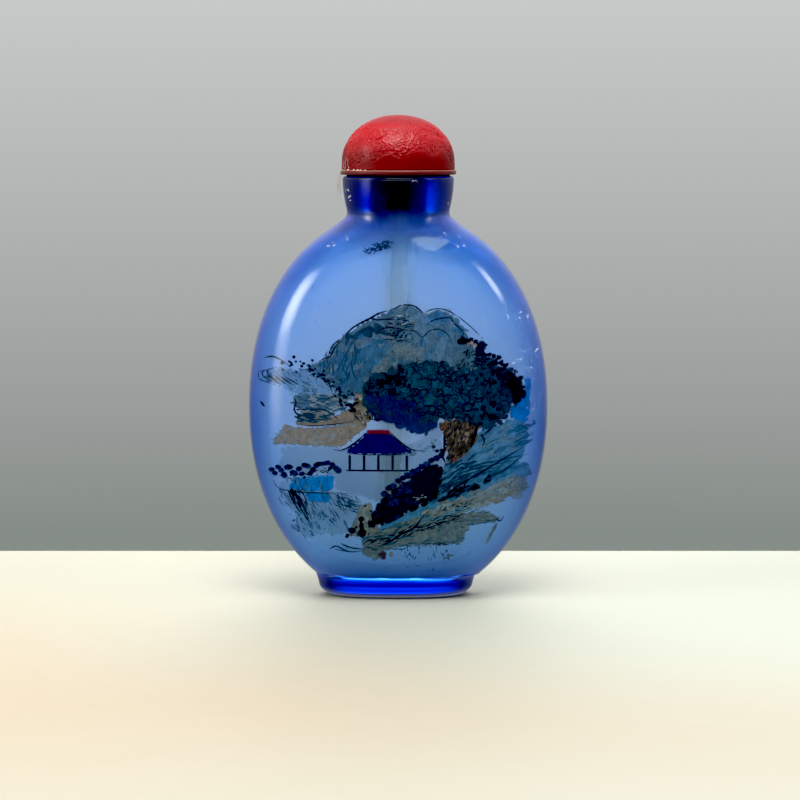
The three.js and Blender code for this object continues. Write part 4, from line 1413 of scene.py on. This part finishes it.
spoon = {
    "top": stopper["base"] - stopper["gap"] - plug["length"] - 0.3,
    "tang": (0.8, 2.7),
    "stem": (1.25, 0.45, 42.0),
    "bowl": (1.9, 0.7, 6.5),
    "lean": math.radians(1.6),
    "around": 40,
    "ivory": ((0.86, 0.82, 0.68), (0.74, 0.68, 0.5)),
    "stain": (0.4, 0.28, 0.14),  # around the bowl
}


def spoonRing(z):
    # half width, half thickness and roundness of the spoon this far below its shoulder
    halfX, halfY, length = spoon["stem"]
    bowlX, bowlY, bowlLength = spoon["bowl"]
    if z > -0.6:
        share = smoothStep(z, -0.6, 0)
        tang = spoon["tang"][0]
        return halfX + (tang - halfX) * share, halfY + (tang - halfY) * share, 5 - 3 * share
    if z > -length:
        return halfX * (1 - 0.1 * z / -length), halfY, 5
    along = clamp((-z - length) / bowlLength * 2 - 1, -1, 1)
    full = math.sqrt(max(1 - along**2, 0))
    least = 1 if along < 0 else 0
    return max(halfX * 0.9 * least, bowlX * full), max(halfY * least, bowlY * full), 5 - 2.8 * full


def buildSpoon():
    end = -spoon["stem"][2] - spoon["bowl"][2]
    around, tangTop = spoon["around"], spoon["tang"][1]
    bowlX, bowlY, bowlLength = spoon["bowl"]
    zs = [tangTop, tangTop - 0.1] + spread(tangTop - 0.4, 0, 8) + spread(-0.1, -1, 10)
    zs += spread(-1.6, -spoon["stem"][2] + 0.1, 90)
    zs += [end + bowlLength * (0.5 + 0.5 * math.cos(a)) for a in spread(0, math.pi - 0.12, 46)]
    middle = end + bowlLength / 2
    c, s = math.cos(spoon["lean"]), math.sin(spoon["lean"])
    points = []
    for row, z in enumerate(zs):
        halfX, halfY, power = spoonRing(z)
        if row == 0:
            halfX, halfY = halfX - 0.12, halfY - 0.12
        for i in range(around):
            x, y = ovalPoint(halfX, halfY, power, i / around)
            spot = (x / bowlX / 0.72) ** 2 + ((z - middle) / bowlLength / 0.36) ** 2
            if y < 0 and spot < 1:
                y = max(y, bowlY * (1.1 * math.sqrt(1 - spot) - 1.15))
            x -= 0.03 * noise.noise(Vector((x, y, z * 0.5)))
            points.append((x * c + z * s, y, z * c - x * s + spoon["top"]))
    faces = [tuple(reversed(f)) for f in loftFaces(len(zs), around)]
    points += [(z * s, 0, z * c + spoon["top"]) for z in (zs[0], zs[-1])]
    top, bottom, last = len(points) - 2, len(points) - 1, (len(zs) - 1) * around
    faces += capFaces(top, 0, around) + capFaces(bottom, last, around, down=True)
    finish = newFinish("old_ivory", Specular_IOR_Level=0.4)
    grain = finish.noise(0.0014, detail=4, stretch=(1, 1, 0.12))
    bottomZ = spoon["top"] + end
    stain = 1 - finish.axis("Z").rampAt((bottomZ, bottomZ + 16))
    colour = finish.mix(grain, *spoon["ivory"])
    finish.set(
        Base_Color=finish.mix(stain * 0.5, colour, spoon["stain"]),
        Roughness=0.4 + grain * 0.2,
        Normal=finish.bump(grain, 0.2, 0.00005),
    )
    addPiece("spoon_blade", points, faces, finish, "spoon", ["spoon"])


lint = {"radius": 0.028, "sides": 5, "count": 9, "pale": ((0.62, 0.56, 0.5), (0.42, 0.36, 0.33))}


def buildLint():
    # fibres caught under the left end of the collar
    luck = random.Random(paint["seed"] + 3)
    points, faces = [], []
    rim, level = collar["radius"], stopper["base"] + collar["thick"]

    def fibre(path):
        first, sides = len(points), lint["sides"]
        for i, p in enumerate(path):
            along = (path[min(i + 1, len(path) - 1)] - path[max(i - 1, 0)]).normalized()
            u = along.orthogonal().normalized()
            v = along.cross(u)
            for k in range(sides):
                a = 2 * math.pi * k / sides
                points.append(tuple(p + (u * math.cos(a) + v * math.sin(a)) * lint["radius"]))
        faces.extend(loftFaces(len(path), sides, first))

    for i in range(lint["count"]):
        reach = luck.uniform(1.2, 4.2)
        x, z = -rim + luck.uniform(-0.05, 0.35), level - luck.uniform(0, 0.7)
        y, path = -luck.uniform(0.4, 2.4), []
        for k in range(14):
            t = k / 13
            sway = Vector([noise.noise(Vector((i * 7, t * 2.2, z0))) for z0 in (0, 9)] + [0])
            path.append(Vector((x - 0.5 * math.sin(t * 2.4), y, z - reach * t)) + sway * 0.9 * t)
        fibre(path)
    for x, top, lean in ((-8.7, 2.1, 0.25), (-8.25, 1.7, -0.25), (-9.0, 1.2, -0.1)):
        path = []
        for t in spread(0, 1, 9):
            h = 0.05 + top * t
            px = x + lean * (t - 0.5) + 0.06 * math.sin(t * 9)
            py = -math.sqrt(max((cap["radius"] + 0.02) ** 2 - px**2, 0))
            path.append(Vector((px, py, level + h)))
        fibre(path)
    finish = newFinish("pale_lint", Roughness=0.8)
    finish.set(Base_Color=finish.mix(finish.noise(0.001), *lint["pale"]))
    addPiece("lint", points, faces, finish, "collar")


buildCap()
buildCollar()
buildPlug()
buildSpoon()
buildLint()
print("stopper and spoon made")
